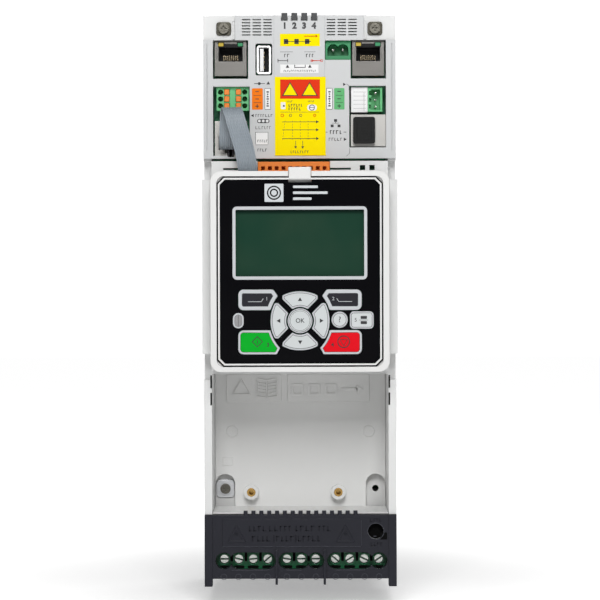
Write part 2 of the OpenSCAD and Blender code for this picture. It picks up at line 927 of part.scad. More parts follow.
// Point on a smooth curve through the route, u from 0 to its last index
function at(i) = route[max(0, min(len(route) - 1, i))];
function smooth(u) =
    let (i = min(floor(u), len(route) - 2), t = u - i)
    let (a = at(i - 1), b = at(i), c = at(i + 1), d = at(i + 2))
    0.5 * (2 * b + (c - a) * t + (2 * a - 5 * b + 4 * c - d) * t ^ 2
        + (3 * b - a - 3 * c + d) * t ^ 3);
function unit(v) = v / norm(v);
function ribbon_ring(u) =
    let (p = smooth(u))
    let (along = unit(smooth(min(u + 0.1, len(route) - 1)) - smooth(max(u - 0.1, 0))))
    let (across = unit([1, 0, 0] - along * along[0]))
    let (out = cross(along, across))
    [for (k = [[-1, -0.4], [-0.95, -1], [0.95, -1], [1, -0.4], [1, 0.4], [0.95, 1], [-0.95, 1],
        [-1, 0.4]]) p + across * k[0] * ribbon_w / 2 + out * k[1] * ribbon_t / 2];

module keypad_ribbon() {
    steps = 3 * (len(route) - 1);
    points = [for (s = [0 : steps], p = ribbon_ring(s / 3)) p];
    sides = [for (s = [0 : steps - 1], k = [0 : 7])
        let (a = s * 8 + k, b = s * 8 + (k + 1) % 8)
            each [[a, b, b + 8], [a, b + 8, a + 8]]];
    caps = [[for (k = [7 : -1 : 0]) k], [for (k = [0 : 7]) steps * 8 + k]];
    color("lightsteelblue")
        polyhedron(points, concat(sides, caps));
}

// ---- Keypad ----

module pad_notch(extra) {
    tall(0, latch_z - latch_h / 2 - extra, latch_z + latch_h / 2 + 2, pad_y - 2,
        latch_w + 0.6, frame_t + 3);
}

module keypad_body() {
    shell_y = pad_y + frame_t - 0.01;
    shell_d = pad_back - shell_y;
    color("whitesmoke")
        difference() {
            union() {
                upright(0, pad_z, pad_y, frame_t)
                    rounded_2d(pad_w, pad_h, 5.5);
                upright(0, pad_z, shell_y, shell_d)
                    rounded_2d(shell_w, shell_h, 4);
                for (sx = [-1, 1], sz = [-1, 1])
                    rod(sx * peg_dx, pad_z + sz * peg_dz, pad_back - 1, 4.5, peg_r);
            }
            // Seat of the panel, then the inside
            upright(0, pad_z, pad_y - 1, 1 + 0.5 + panel_t + 0.02)
                rounded_2d(panel_w + 2 * seat_rim, panel_h + 2 * seat_rim, 3.6);
            upright(0, pad_z, pad_y, pad_d - 1.8)
                rounded_2d(shell_w - 4, shell_h - 4, 3);
            pad_notch(latch_travel + 0.6);
            block(ribbon_end_x, pad_z + shell_h / 2, ribbon_end_y - ribbon_t / 2 - gap,
                ribbon_w + 2 * gap, 8, ribbon_t + 2 * gap);
        }
}

// Outlines of the keys, about the keypad's own face; grow makes the hole in the panel
module arrow_key_2d(turn, grow) {
    far = 2 * arrow_out;
    apex = 2.1 - grow * 1.4;
    half = arrow_half + grow;
    translate([0, cross_z])
        rotate(turn)
            intersection() {
                difference() {
                    translate([0, arrow_out - bulge_r])
                        circle(r = bulge_r + grow);
                    circle(r = arrow_in - grow);
                }
                polygon([[0, apex], [half, half + apex], [half, far], [-half, far],
                    [-half, half + apex]]);
            }
}

// Key beside the arrows, between two heights over the cross. edge is its inner edge, upwards,
// as [distance from the middle, height over the cross]; the arrow key is kept clear
module side_key_2d(side, z0, z1, edge, grow) {
    reach = edge[1][0];
    outer = side * 60;
    difference() {
        intersection() {
            translate([side * (side_out + reach) / 2, cross_z + (z0 + z1) / 2])
                rounded_2d(side_out - reach + 2 * grow, z1 - z0 + 2 * grow, 2.7 + grow);
            polygon(concat(
                [for (p = edge) [side * (p[0] - 1.2 * grow), cross_z + p[1]]],
                [[outer, cross_z + edge[2][1]], [outer, cross_z + edge[0][1]]]));
        }
        translate([-side * (bulge_r - arrow_out), cross_z])
            circle(r = bulge_r + side_clear - grow);
    }
}

module key_2d(name, grow) {
    if (name == "ok")
        translate([0, cross_z])
            circle(r = ok_r + grow);
    if (name == "up")
        arrow_key_2d(0, grow);
    if (name == "left")
        arrow_key_2d(90, grow);
    if (name == "down")
        arrow_key_2d(180, grow);
    if (name == "right")
        arrow_key_2d(270, grow);
    if (name == "soft_left")
        side_key_2d(-1, soft_z0, soft_z1, soft_edge, grow);
    if (name == "soft_right")
        side_key_2d(1, soft_z0, soft_z1, soft_edge, grow);
    if (name == "start")
        side_key_2d(-1, run_z0, run_z1, run_edge, grow);
    if (name == "stop")
        side_key_2d(1, run_z0, run_z1, run_edge, grow);
    if (name == "help")
        translate([help_x, help_z])
            circle(r = help_r + grow);
    if (name == "mode")
        translate([mode_x, mode_z])
            rounded_2d(mode_w + 2 * grow, mode_h + 2 * grow, 2 + grow);
}

KEYS = ["ok", "up", "down", "left", "right", "soft_left", "soft_right", "help", "mode",
    "start", "stop"];

module keypad_panel() {
    color([0.03, 0.03, 0.04])
        difference() {
            upright(0, pad_z, panel_y, panel_t)
                difference() {
                    square([panel_w, panel_h], center = true);
                    for (sx = [-1, 1], sz = [-1, 1])
                        translate([sx * panel_w / 2, sz * panel_h / 2])
                            rotate(45)
                                square(panel_cut * sqrt(2), center = true);
                }
            upright(0, lcd_z, panel_y - 1, panel_t + 2)
                square([lcd_w, lcd_h], center = true);
            upright(0, 0, panel_y - 1, panel_t + 2)
                for (name = KEYS)
                    key_2d(name, key_gap);
            pad_notch(latch_travel + 0.6);
        }
}

module keypad_board() {
    board_y = key_y + key_t + key_travel + 0.4;
    color("darkgreen")
        upright(0, pad_z, board_y, 1.4)
            rounded_2d(shell_w - 4.4, shell_h - 14, 2.6);
}

module lcd_display() {
    display_y = panel_y + panel_t + 0.02;
    board_y = key_y + key_t + key_travel + 0.4;
    color([0.13, 0.27, 0.21])
        block(0, lcd_z, display_y, lcd_w + 3, lcd_h + 3, board_y - display_y);
}

module keypad_latch() {
    color("white")
        block(0, latch_z, pad_y - 0.3, latch_w, latch_h, 4);
}

module key(name, tint) {
    color(tint)
        upright(0, 0, key_y, key_t)
            key_2d(name, 0);
}

// ---- The whole drive ----

chassis_tray();
heatsink();
fan_frame();
fan_rotor();
fan_guard();
main_housing();
terminal_base();
connector_faceplate();
keypad_carrier();
option_bay_floor();
control_board();
power_board();
dc_link_capacitors();
power_module();
line_choke();
board_standoffs();
rj45_left();
rj45_right();
rj45_keypad_port();
rj45_lan();
dust_plug();
usb_shell();
usb_tongue();
spring_terminal();
release_lever(1);  // release_lever_1
release_lever(2);  // release_lever_2
release_lever(3);  // release_lever_3
release_lever(4);  // release_lever_4
release_lever(5);  // release_lever_5
release_lever(6);  // release_lever_6
header_2pin();
header_3pin();
header_pins();
marker_block();
earth_tabs();
earth_screws();
led_light_pipes();
keypad_ribbon();
ribbon_plug();
strip_terminal();
brass_inserts();
power_terminal_blocks();
power_clamp_screws();
keypad_body();
keypad_panel();
keypad_board();
lcd_display();
keypad_latch();
key("ok", "lightgray");  // key_ok
key("up", "lightgray");  // key_up
key("down", "lightgray");  // key_down
key("left", "lightgray");  // key_left
key("right", "lightgray");  // key_right
key("soft_left", "dimgray");  // key_soft_left
key("soft_right", "dimgray");  // key_soft_right
key("help", "lightgray");  // key_help
key("mode", "lightgray");  // key_mode
key("start", "limegreen");  // key_start
key("stop", "red");  // key_stop
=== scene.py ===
import math
import random

import bmesh
import bpy
from mathutils import Matrix, Vector


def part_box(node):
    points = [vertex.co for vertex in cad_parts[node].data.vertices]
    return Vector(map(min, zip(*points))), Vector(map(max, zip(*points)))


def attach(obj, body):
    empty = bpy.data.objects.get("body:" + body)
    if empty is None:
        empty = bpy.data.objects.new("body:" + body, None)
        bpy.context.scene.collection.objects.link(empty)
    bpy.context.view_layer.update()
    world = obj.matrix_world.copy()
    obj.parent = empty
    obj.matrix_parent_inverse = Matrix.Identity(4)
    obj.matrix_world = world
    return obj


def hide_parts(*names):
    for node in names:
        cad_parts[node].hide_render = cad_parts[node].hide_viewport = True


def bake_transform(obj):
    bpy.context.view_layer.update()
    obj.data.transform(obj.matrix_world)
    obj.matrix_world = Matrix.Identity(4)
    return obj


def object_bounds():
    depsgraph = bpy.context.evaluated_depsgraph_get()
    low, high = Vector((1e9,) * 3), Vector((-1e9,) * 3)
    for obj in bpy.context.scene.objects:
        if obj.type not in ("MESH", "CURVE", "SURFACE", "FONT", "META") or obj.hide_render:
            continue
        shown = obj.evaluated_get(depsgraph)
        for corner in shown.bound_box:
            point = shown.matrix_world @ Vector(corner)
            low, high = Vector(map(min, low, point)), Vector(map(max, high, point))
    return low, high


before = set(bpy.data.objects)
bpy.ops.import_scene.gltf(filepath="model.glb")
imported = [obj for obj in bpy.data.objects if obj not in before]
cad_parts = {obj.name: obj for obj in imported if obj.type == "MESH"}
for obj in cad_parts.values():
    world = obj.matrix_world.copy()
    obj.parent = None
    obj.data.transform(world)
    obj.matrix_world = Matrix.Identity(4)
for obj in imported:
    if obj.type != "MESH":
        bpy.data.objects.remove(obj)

cad_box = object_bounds()

# ---- Studio ----
# Pale paper floor that the drive stands on, a soft lamp above the front, weaker ones at the sides
# and behind, and the camera level with the middle of the front.
scene = bpy.context.scene
scene.view_settings.view_transform = "Standard"
MM = 0.001
front_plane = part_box("connector_faceplate")[0].y
camera_distance = 1.40
camera_height = -1.0 * MM
camera_roll = math.radians(0.15)
view_width = 0.3078
camera_data = bpy.data.cameras.new("camera")
camera_data.sensor_width = 36
camera_data.lens = camera_data.sensor_width * camera_distance / view_width
camera = bpy.data.objects.new("camera", camera_data)
camera.location = (0, front_plane - camera_distance, camera_height)
camera.rotation_euler = (math.radians(90), camera_roll, 0)
scene.collection.objects.link(camera)
scene.camera = camera


def soft_lamp(name, place, aim, side, power):
    """Square area lamp with a side in metres, turned from its place to a point."""
    data = bpy.data.lights.new(name, "AREA")
    data.shape = "SQUARE"
    data.size = side
    data.energy = power
    lamp = bpy.data.objects.new(name, data)
    lamp.location = place
    lamp.rotation_euler = (Vector(aim) - Vector(place)).to_track_quat("-Z", "Y").to_euler()
    scene.collection.objects.link(lamp)


soft_lamp("lamp_above", (0, -1.38, 0.74), (0, -0.12, -0.03), 0.55, 13.5)
soft_lamp("lamp_left", (-1.35, -1.1, 0.1), (0, -0.12, 0), 0.8, 1.3)
soft_lamp("lamp_right", (1.35, -1.1, 0.1), (0, -0.12, 0), 0.8, 1.3)
soft_lamp("lamp_back", (0.5, 1.0, 1.1), (0, 0, 0), 0.8, 6)
world = bpy.data.worlds.new("world")
world.use_nodes = True
sky = world.node_tree.nodes["Background"]
sky.inputs["Color"].default_value = (1, 1, 1, 1)
seen = world.node_tree.nodes.new("ShaderNodeLightPath")
strength = world.node_tree.nodes.new("ShaderNodeMapRange")
strength.inputs["To Min"].default_value = 0.1
strength.inputs["To Max"].default_value = 1.1
world.node_tree.links.new(seen.outputs["Is Camera Ray"], strength.inputs["Value"])
world.node_tree.links.new(strength.outputs["Result"], sky.inputs["Strength"])
scene.world = world


class Wire:
    """A shader socket with arithmetic: an expression on wires adds its Math nodes."""

    def __init__(self, finish, socket):
        self.finish = finish
        self.socket = socket

    def math(self, operation, first, second=0.0, clamp=False):
        return self.finish.node("Math", {0: first, 1: second}, operation=operation,
                                use_clamp=clamp)

    def __add__(self, other):
        return self.math("ADD", self, other)

    __radd__ = __add__

    def __sub__(self, other):
        return self.math("SUBTRACT", self, other)

    def __rsub__(self, other):
        return self.math("SUBTRACT", other, self)

    def __mul__(self, other):
        return self.math("MULTIPLY", self, other)

    __rmul__ = __mul__

    def clamped(self):
        return self.math("ADD", self, 0.0, clamp=True)


class Finish:
    """A material under construction: each call adds one node, and feed joins the shader."""

    def __init__(self, name, **constants):
        self.material = bpy.data.materials.new(name)
        self.material.use_nodes = True
        self.tree = self.material.node_tree
        self.shader = self.tree.nodes["Principled BSDF"]
        for socket, value in constants.items():
            self.plug(self.shader.inputs[socket.replace("_", " ")], value)

    def plug(self, socket, value):
        if isinstance(value, Wire):
            self.tree.links.new(value.socket, socket)
        elif socket.type == "RGBA":
            socket.default_value = (*value[:3], 1)
        else:
            socket.default_value = value

    def node(self, kind, sockets=None, output=0, stops=None, **settings):
        made = self.tree.nodes.new("ShaderNode" + kind)
        for key, value in settings.items():
            setattr(made, key, value)
        if stops:
            ramp = made.color_ramp
            while len(ramp.elements) < len(stops):
                ramp.elements.new(0.5)
            for element, (position, colour) in zip(ramp.elements, stops):
                element.position = position
                element.color = (*colour, 1)
        for key, value in (sockets or {}).items():
            self.plug(made.inputs[key], value)
        return Wire(self, made.outputs[output])

    def mixed(self, factor, first, second):
        """Two colours mixed by a factor."""
        return self.node("Mix", {0: factor, 6: first, 7: second}, output=2, data_type="RGBA")

    def noise(self, place, scale, detail=2.0):
        return self.node("TexNoise", {"Vector": place, "Scale": scale, "Detail": detail})

    def feed(self, **inputs):
        for socket, value in inputs.items():
            self.plug(self.shader.inputs[socket.replace("_", " ")], value)
        return self.material


def place_piece(name, shape, material, body=None, replaced=()):
    """Turns a bmesh into a piece that rides on a body and takes its finish from a slot."""
    mesh = bpy.data.meshes.new(name)
    shape.to_mesh(mesh)
    shape.free()
    mesh.materials.append(material)
    made = bpy.data.objects.new(name, mesh)
    scene.collection.objects.link(made)
    if body:
        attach(made, body)
    if replaced:
        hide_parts(*replaced)
    return made


floor = bmesh.new()
bmesh.ops.create_grid(floor, x_segments=4, y_segments=4, size=6,
                      matrix=Matrix.Translation((0, 0, cad_box[0].z)))
paper = Finish("studio_paper", Base_Color=(0.92, 0.92, 0.92), Roughness=0.9,
               Emission_Strength=0.9)
reach = paper.node("VectorMath", {0: paper.node("TexCoord", output="Object")}, output="Value",
                   operation="LENGTH")
far = paper.node("MapRange", {0: reach, 1: 0.11, 2: 0.34})
looked_at = paper.node("LightPath", output="Is Camera Ray")
paper_glow = paper.mixed(far, (0.22, 0.22, 0.22), (1, 1, 1))
place_piece("studio_floor", floor, paper.feed(
    Emission_Color=paper.mixed(looked_at, (0.32, 0.32, 0.32), paper_glow)))

# ---- Steel tray and heatsink ----
# Zinc-plated steel sheet folded into a tray with a mounting flange above and below. The finned
# heatsink inside it is extruded aluminium, cut to length.


def tinted(colour, amount):
    """A colour made lighter (above 1) or darker (below 1)."""
    return tuple(min(1.0, c * amount) for c in colour)


def drawn_metal(name, colour, rough=0.3, along="z", lines=0.006, spread=0.06, edge=0.25):
    """Bare metal with fine lines along one axis; lines is their depth in mm."""
    stretch = {"x": (40, 1400, 1400), "y": (1400, 40, 1400), "z": (1400, 1400, 40)}[along]
    finish = Finish(name, Metallic=1.0)
    place = finish.node("TexCoord", output="Object")
    streak = finish.noise(finish.node("Mapping", {"Vector": place, "Scale": stretch}), 1, 3)
    cloud = finish.noise(place, 35, 4)
    soft = finish.node("Bevel", {"Radius": edge * MM}, samples=4)
    body = finish.mixed(cloud, tinted(colour, 1 - spread), tinted(colour, 1 + spread))
    normal = finish.node("Bump", {"Height": streak, "Distance": lines * MM, "Normal": soft})
    return finish.feed(Base_Color=finish.mixed(streak * 0.25, body, tinted(colour, 0.7)),
                       Roughness=rough + (streak - 0.5) * 0.2 + (cloud - 0.5) * 0.12,
                       Normal=normal)


def paint(node, material):
    """Gives a CAD node its finish."""
    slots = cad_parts[node].data.materials
    slots.clear()
    slots.append(material)


zinc = drawn_metal("zinc_sheet", (0.62, 0.63, 0.64), 0.36, "x", 0.003, 0.12)
aluminium = drawn_metal("extruded_aluminium", (0.7, 0.71, 0.73), 0.32, "z", 0.012)
paint("chassis_tray", zinc)
paint("heatsink", aluminium)

# ---- Cooling fan ----
# Square fan moulded in black plastic, screwed under the shelf of the tray. Its guard is bright
# steel wire, welded in rings.


def moulded(name, colour, rough=0.42, grain=0.012, scale=2200, spread=0.05, edge=0.35,
            rubbed=0.25, coat=0.0, gloss=0.5):
    """Moulded plastic: clouded colour, spark-eroded grain, edges softened and rubbed paler.
    grain is the grain's depth and edge its edge radius, both in mm."""
    finish = Finish(name, Specular_IOR_Level=gloss, Coat_Weight=coat, Coat_Roughness=0.12)
    place = finish.node("TexCoord", output="Object")
    cloud = finish.noise(place, 24, 3)
    speck = finish.noise(place, scale)
    soft = finish.node("Bevel", {"Radius": edge * MM}, samples=4)
    hard = finish.node("NewGeometry", output="Normal")
    facing = finish.node("VectorMath", {0: soft, 1: hard}, output="Value",
                         operation="DOT_PRODUCT")
    worn = ((1 - facing) * 3 * rubbed).clamped()
    body = finish.mixed(cloud, tinted(colour, 1 - spread), tinted(colour, 1 + spread))
    shade = finish.mixed(worn, body, tinted(colour, 1.35))
    normal = finish.node("Bump", {"Height": speck, "Distance": grain * MM, "Normal": soft})
    return finish.feed(Base_Color=shade, Roughness=rough + (cloud - 0.5) * 0.14
                       + (speck - 0.5) * 0.08, Normal=normal)


fan_black = moulded("fan_plastic", (0.02, 0.02, 0.022), 0.5, 0.02)
bright_wire = drawn_metal("bright_wire", (0.78, 0.78, 0.8), 0.16, "x", 0.001)
for node in ("fan_frame", "fan_rotor"):
    paint(node, fan_black)
paint("fan_guard", bright_wire)

# ---- Plastic housing, carrier and option bay ----
# Off-white shells, injection moulded: the side walls with their top, the carrier behind the
# keypad with its wings, and the floor of the option bay with bosses, arches and raised plates.


def shaded(piece, angle=32):
    """Smooth shading up to an angle, with flat faces kept flat."""
    piece.data.shade_smooth()
    piece.data.set_sharp_from_angle(angle=math.radians(angle))
    weighted = piece.modifiers.new("weighted", "WEIGHTED_NORMAL")
    weighted.keep_sharp = True
    return piece


def cad_copy(node):
    """A merged copy of a CAD node's mesh, its flat faces joined up."""
    shape = bmesh.new()
    shape.from_mesh(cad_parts[node].data)
    bmesh.ops.remove_doubles(shape, verts=shape.verts, dist=1e-6)
    bmesh.ops.dissolve_limit(shape, angle_limit=math.radians(1), verts=shape.verts,
                             edges=shape.edges)
    return shape


def sharp_edges(shape, angle=35, keep=None):
    """Edges where the faces turn by more than an angle, of those that keep allows."""
    return [e for e in shape.edges if len(e.link_faces) == 2
            and e.calc_face_angle(0) > math.radians(angle) and (keep is None or keep(e))]


def softened(node, width, material, body="root", segments=2, angle=35,
             shape=None):
    """The CAD node again with its sharp edges rounded by width mm."""
    shape = shape or cad_copy(node)
    bmesh.ops.bevel(shape, geom=sharp_edges(shape, angle), offset=width * MM,
                    offset_type="OFFSET", segments=segments, affect="EDGES", profile=0.5,
                    material=-1, clamp_overlap=True)
    return shaded(place_piece(node + "_rounded", shape, material, body, [node]))


def box_mm(node):
    """Centre, size and front of a node, in mm, as seen from the front."""
    low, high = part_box(node)
    return ((low.x + high.x) / 2 / MM, (low.z + high.z) / 2 / MM, (high.x - low.x) / MM,
            (high.z - low.z) / MM, low.y / MM)


def slab(shape, x, z, width, height, front, depth, corner=0.0, edge=0.0, turn=0.0, steps=5):
    """Adds a plate in mm that faces the front: rounded corners, softened front edges."""
    matrix = (Matrix.Translation(Vector((x, front + depth / 2, z)) * MM)
              @ Matrix.Rotation(math.radians(-turn), 4, "Y")
              @ Matrix.Diagonal((width * MM, depth * MM, height * MM, 1)))
    verts = bmesh.ops.create_cube(shape, size=1, matrix=matrix)["verts"]
    faces = {f for v in verts for f in v.link_faces}
    upright = [e for e in {e for f in faces for e in f.edges}
               if abs((e.verts[0].co - e.verts[1].co).y) > depth * MM * 0.9]
    if corner:
        faces |= set(bmesh.ops.bevel(shape, geom=upright, offset=corner * MM, segments=steps,
                                     affect="EDGES", profile=0.5, material=-1)["faces"])
    if edge:
        live = {f for f in faces if f.is_valid}
        rim = [e for e in {e for f in live for e in f.edges}
               if all(abs(v.co.y - front * MM) < 1e-7 for v in e.verts)]
        bmesh.ops.bevel(shape, geom=rim, offset=edge * MM, segments=2, affect="EDGES",
                        profile=0.5, material=-1)


def thicken(shape, faces, depth):
    """Gives a flat patch that faces the front its depth, closed all round."""
    made = bmesh.ops.extrude_face_region(shape, geom=faces, use_keep_orig=True)["geom"]
    bmesh.ops.translate(shape, vec=(0, depth * MM, 0),
                        verts=[g for g in made if isinstance(g, bmesh.types.BMVert)])
    bmesh.ops.recalc_face_normals(shape, faces=shape.faces)


def hollow(shape, outer, inner, front, depth):
    """Adds a frame between two rounded rectangles, each (x, z, width, height, corner)."""
    loops = []
    for x, z, width, height, corner in (outer, inner):
        ring = bmesh.new()
        slab(ring, x, z, width, height, front, depth, corner)
        keep = min(ring.faces, key=lambda f: (round(f.normal.y, 2), -f.calc_area()))
        bmesh.ops.delete(ring, geom=[f for f in ring.faces if f is not keep], context="FACES")
        bmesh.ops.delete(ring, geom=ring.faces[:], context="FACES_ONLY")
        before = set(shape.edges)
        mesh = bpy.data.meshes.new("loop")
        ring.to_mesh(mesh)
        shape.from_mesh(mesh)
        ring.free()
        loops += [e for e in shape.edges if e not in before]
    faces = bmesh.ops.bridge_loops(shape, edges=loops)["faces"]
    thicken(shape, faces, depth)


def disc(shape, x, z, radius, front, depth=0.05, sides=24, turn=0.0, top=None):
    """Adds a round or many-sided plate that faces the front."""
    matrix = (Matrix.Translation(Vector((x, front + depth / 2, z)) * MM)
              @ Matrix.Rotation(math.radians(-turn), 4, "Y")
              @ Matrix.Rotation(math.radians(90), 4, "X"))
    bmesh.ops.create_cone(shape, cap_ends=True, segments=sides, radius1=radius * MM,
                          radius2=(radius if top is None else top) * MM, depth=depth * MM,
                          matrix=matrix)


def bar(shape, x1, z1, x2, z2, width, front, depth=0.05):
    """Adds a straight printed line between two points."""
    slab(shape, (x1 + x2) / 2, (z1 + z2) / 2, math.hypot(x2 - x1, z2 - z1) + width * 0.6,
         width, front, depth, turn=math.degrees(math.atan2(z2 - z1, x2 - x1)))


def hoop(shape, x, z, radius, width, front, depth=0.05, sides=40, turn=0.0):
    """Adds a printed ring, or the outline of a many-sided figure."""
    matrix = (Matrix.Translation(Vector((x, front, z)) * MM)
              @ Matrix.Rotation(math.radians(-turn), 4, "Y")
              @ Matrix.Rotation(math.radians(90), 4, "X"))
    loops = []
    for r in (radius, radius - width):
        verts = bmesh.ops.create_circle(shape, segments=sides, radius=r * MM,
                                        matrix=matrix)["verts"]
        loops += list({e for v in verts for e in v.link_edges})
    thicken(shape, bmesh.ops.bridge_loops(shape, edges=loops)["faces"], depth)


class Print:
    """Marks or details of one material, drawn on one bmesh and placed as one piece."""

    def __init__(self, name, material, body="root", slot_name=None):
        self.name, self.material, self.body, self.slot_name = name, material, body, slot_name
        self.shape = bmesh.new()

    def done(self):
        bmesh.ops.remove_doubles(self.shape, verts=self.shape.verts, dist=1e-8)
        return place_piece(self.name, self.shape, self.material, self.body)


off_white = (0.75, 0.755, 0.75)
housing_white = moulded("housing_plastic", off_white, 0.4, 0.01, 2400, 0.03, 0.3)
bay_white = moulded("bay_plastic", (0.74, 0.74, 0.73), 0.42, 0.01, 2400, 0.03, 0.3)
# Flat black laid over holes and slots: painted shade where their depth would lie in shadow.
painted_shade_black = moulded("painted_shade_black", (0.004, 0.004, 0.004), 0.8, gloss=0.05)
softened("main_housing", 0.45, housing_white, angle=50)
softened("keypad_carrier", 0.4, housing_white, angle=50)
softened("option_bay_floor", 0.3, bay_white, angle=50)

# Raised signs in the bay: a triangle, an open book, three squares and an arrow
floor_front = box_mm("brass_inserts")[4] + 5
plate_y = floor_front - 0.5
sign_y = plate_y - 0.6
rib_y = plate_y - 0.65
sign_z = -48.4
book_x = -17.6
signs = Print("bay_signs", bay_white, slot_name="housing_plastic")
hoop(signs.shape, -31.2, sign_z + 0.2, 5.6, 0.8, sign_y, 0.65, sides=3)
for s in (-1, 1):
    for k in range(4):
        slab(signs.shape, book_x + s * 2.7, -45.0 - k * 1.7, 4.2, 0.5, sign_y, 0.65, turn=s * 10)
    slab(signs.shape, book_x + s * 5.3, -47.4, 0.6, 8.0, rib_y, 0.7, 0.2, turn=-s * 4)
    for edge_z in (-52.2, -42.9):
        slab(signs.shape, book_x + s * 2.7, edge_z, 5.2, 0.6, rib_y, 0.7, 0.2, turn=s * 10)
slab(signs.shape, book_x, -47.8, 0.6, 8.6, rib_y, 0.7, 0.2)
for x in (-1.4, 7.4, 16.2):
    hollow(signs.shape, (x, sign_z, 6.5, 6.2, 1.0), (x, sign_z, 4.1, 3.8, 0.5), sign_y, 0.65)
slab(signs.shape, 26.0, sign_z, 8.6, 1.6, sign_y, 0.65, 0.4)
disc(signs.shape, 31.0, sign_z, 2.6, sign_y, 0.65, 3, -90)
for s in (-1, 1):
    hoop(signs.shape, s * 36.2, -70.6, 2.9, 0.35, floor_front - 0.45, 0.2, 32)
    disc(signs.shape, s * 36.2, -70.6, 0.4, floor_front - 0.4, 0.2, 12)
hollow(signs.shape, (-38.5, -86.5, 5.6, 4.4, 0.5), (-38.5, -86.5, 5.0, 3.8, 0.3),
       floor_front - 0.12, 0.15)
bar(signs.shape, -40.6, -88.6, -36.4, -88.6, 0.3, floor_front - 0.15, 0.2)
signs.done()

# Snap slots at the inner edges of the walls, drawn as flat black patches of painted shade, corner
# returns, grip lines on the side rails
wall_front = box_mm("main_housing")[4]
slots = Print("wall_slots_painted_shade", painted_shade_black, slot_name="housing_plastic")
returns = Print("corner_returns", housing_white, slot_name="housing_plastic")
wing_y = box_mm("keypad_carrier")[4]
wing_x = 47.9
wings = Print("wing_details", housing_white, slot_name="housing_plastic")
for s in (-1, 1):
    for z, height in ((-42.9, 6.6), (-51.8, 6.4)):
        slab(slots.shape, s * 45.75, z, 0.85, height, wall_front - 0.04, 0.3)
    slab(returns.shape, s * 33.4, 139.2, 2.2, 12.2, wall_front + 2.1, 1.2)
    slab(wings.shape, s * wing_x, 16.0, 2.0, 84.0, wing_y + 0.06, 0.3, 0.9, 0.2)
    for k in range(6):
        slab(wings.shape, s * wing_x, -18.0 - k * 1.3, 3.2, 0.6, wing_y + 0.02, 0.3, 0.2)
for details in (slots, returns, wings):
    details.done()

# ---- Connector plate ----
# Light grey plate over the control board, a shade darker than the housing. It is moulded in one
# piece with its vent grids and cut-outs, and clips into the housing.
plate_grey = moulded("faceplate_plastic", (0.58, 0.59, 0.595), 0.4, 0.01, 2400, 0.03, 0.35)
paint("connector_faceplate", plate_grey)

# ---- Printed labels on the connector plate ----
# Screen-printed signs and self-adhesive labels: plain numerals, arrows, wiring lines and rows
# of dashes in place of small print.
label_yellow = moulded("label_yellow", (1.0, 0.79, 0.004), 0.5, 0.002, gloss=0.0)
label_red = moulded("label_red", (0.74, 0.035, 0.006), 0.5, 0.002, gloss=0.08)
label_orange = moulded("label_orange", (0.9, 0.2, 0.008), 0.5, 0.002, gloss=0.08)
label_green = moulded("label_green", (0.12, 0.45, 0.17), 0.45, 0.002, gloss=0.2)
label_white = moulded("label_white", (0.85, 0.85, 0.85), 0.45, 0.002, gloss=0.2)
ink = moulded("print_black", (0.02, 0.02, 0.022), 0.5, 0.001)
ink_grey = moulded("print_grey", (0.12, 0.12, 0.125), 0.5, 0.001)
plate_front = box_mm("connector_faceplate")[4] + 0.4
band_front = plate_front - 0.4
label_front = plate_front - 0.5
label_back = plate_front - 0.06
on_plate = plate_front - 0.05
on_plate_label = plate_front - 0.1
on_band = band_front - 0.05
on_band_label = band_front - 0.1
on_label_field = label_front - 0.05
on_red_field = label_front - 0.1
small_print = random.Random(7)
size_over_capital = 1.4


def lettering(shape, words, x, z, height, front, depth=0.05, turn=0.0, bold=0.0):
    """Adds raised numerals or signs centred on a point; height is the height of a capital."""
    curve = bpy.data.curves.new("words", "FONT")
    curve.body = words
    curve.align_x = "CENTER"
    curve.align_y = "CENTER"
    curve.size = height * size_over_capital * MM
    curve.extrude = depth / 2 * MM
    curve.offset = bold * MM
    curve.resolution_u = 4
    holder = bpy.data.objects.new("words", curve)
    mesh = bpy.data.meshes.new_from_object(holder)
    mesh.transform(Matrix.Translation(Vector((x, front + depth / 2, z)) * MM)
                   @ Matrix.Rotation(math.radians(-turn), 4, "Y")
                   @ Matrix.Rotation(math.radians(90), 4, "X"))
    shape.from_mesh(mesh)
    bpy.data.objects.remove(holder)


def dashes(shape, x0, x1, z, height, front, line=0.3):
    """A row of short upright and level strokes, as dense as a line of small print."""
    x = x0
    while x < x1:
        step = height * small_print.uniform(0.45, 0.75)
        top = small_print.random() < 0.6
        slab(shape, x + line / 2, z, line, height, front, 0.05)
        slab(shape, x + step / 2, z + (height / 2 if top else -height / 2) * 0.85,
             step, line * 0.9, front, 0.05)
        x += step + height * 0.35


def arrow(shape, x, z, size, turn, front):
    """A filled triangle; turn 0 points up, 90 to the left."""
    disc(shape, x, z, size, front, 0.05, 3, turn)


label_plates = (
    ("yellow", label_yellow, ((0.3, 132.4, 20.4, 6.4, on_band, 0.08, 0.2),
                              (0.4, 93.3, 26.0, 40.4, plate_front - 0.45, 0.5, 0.2))),
    ("white", label_white, ((0.0, 117.65, 19.7, 4.4, on_band, 0.08, 0.2),
                            (-8.4, 98.7, 2.4, 3.6, label_front, 0.05, 0.2),
                            (6.4, 97.7, 5.0, 3.2, label_front, 0.05, 1.5),
                            (-16.3, 102.2, 3.1, 11.0, label_back, 0.1, 0.4),
                            (15.4, 102.2, 3.1, 11.0, label_back, 0.1, 0.4),
                            (-19.4, 81.9, 6.6, 6.6, label_back, 0.1, 0.3))),
    ("orange", label_orange, ((-21.6, 102.2, 5.6, 11.0, label_back, 0.1, 0.5),)),
    ("green", label_green, ((20.45, 102.2, 5.3, 11.0, label_back, 0.1, 0.5),)))
for name, finish, plates in label_plates:
    label = Print("plate_labels_" + name, finish)
    for plate in plates:
        slab(label.shape, *plate)
    label.done()
label = Print("plate_labels_red", label_red)
slab(label.shape, 0.3, 107.2, 20.4, 9.9, label_front, 0.06, 0.2)
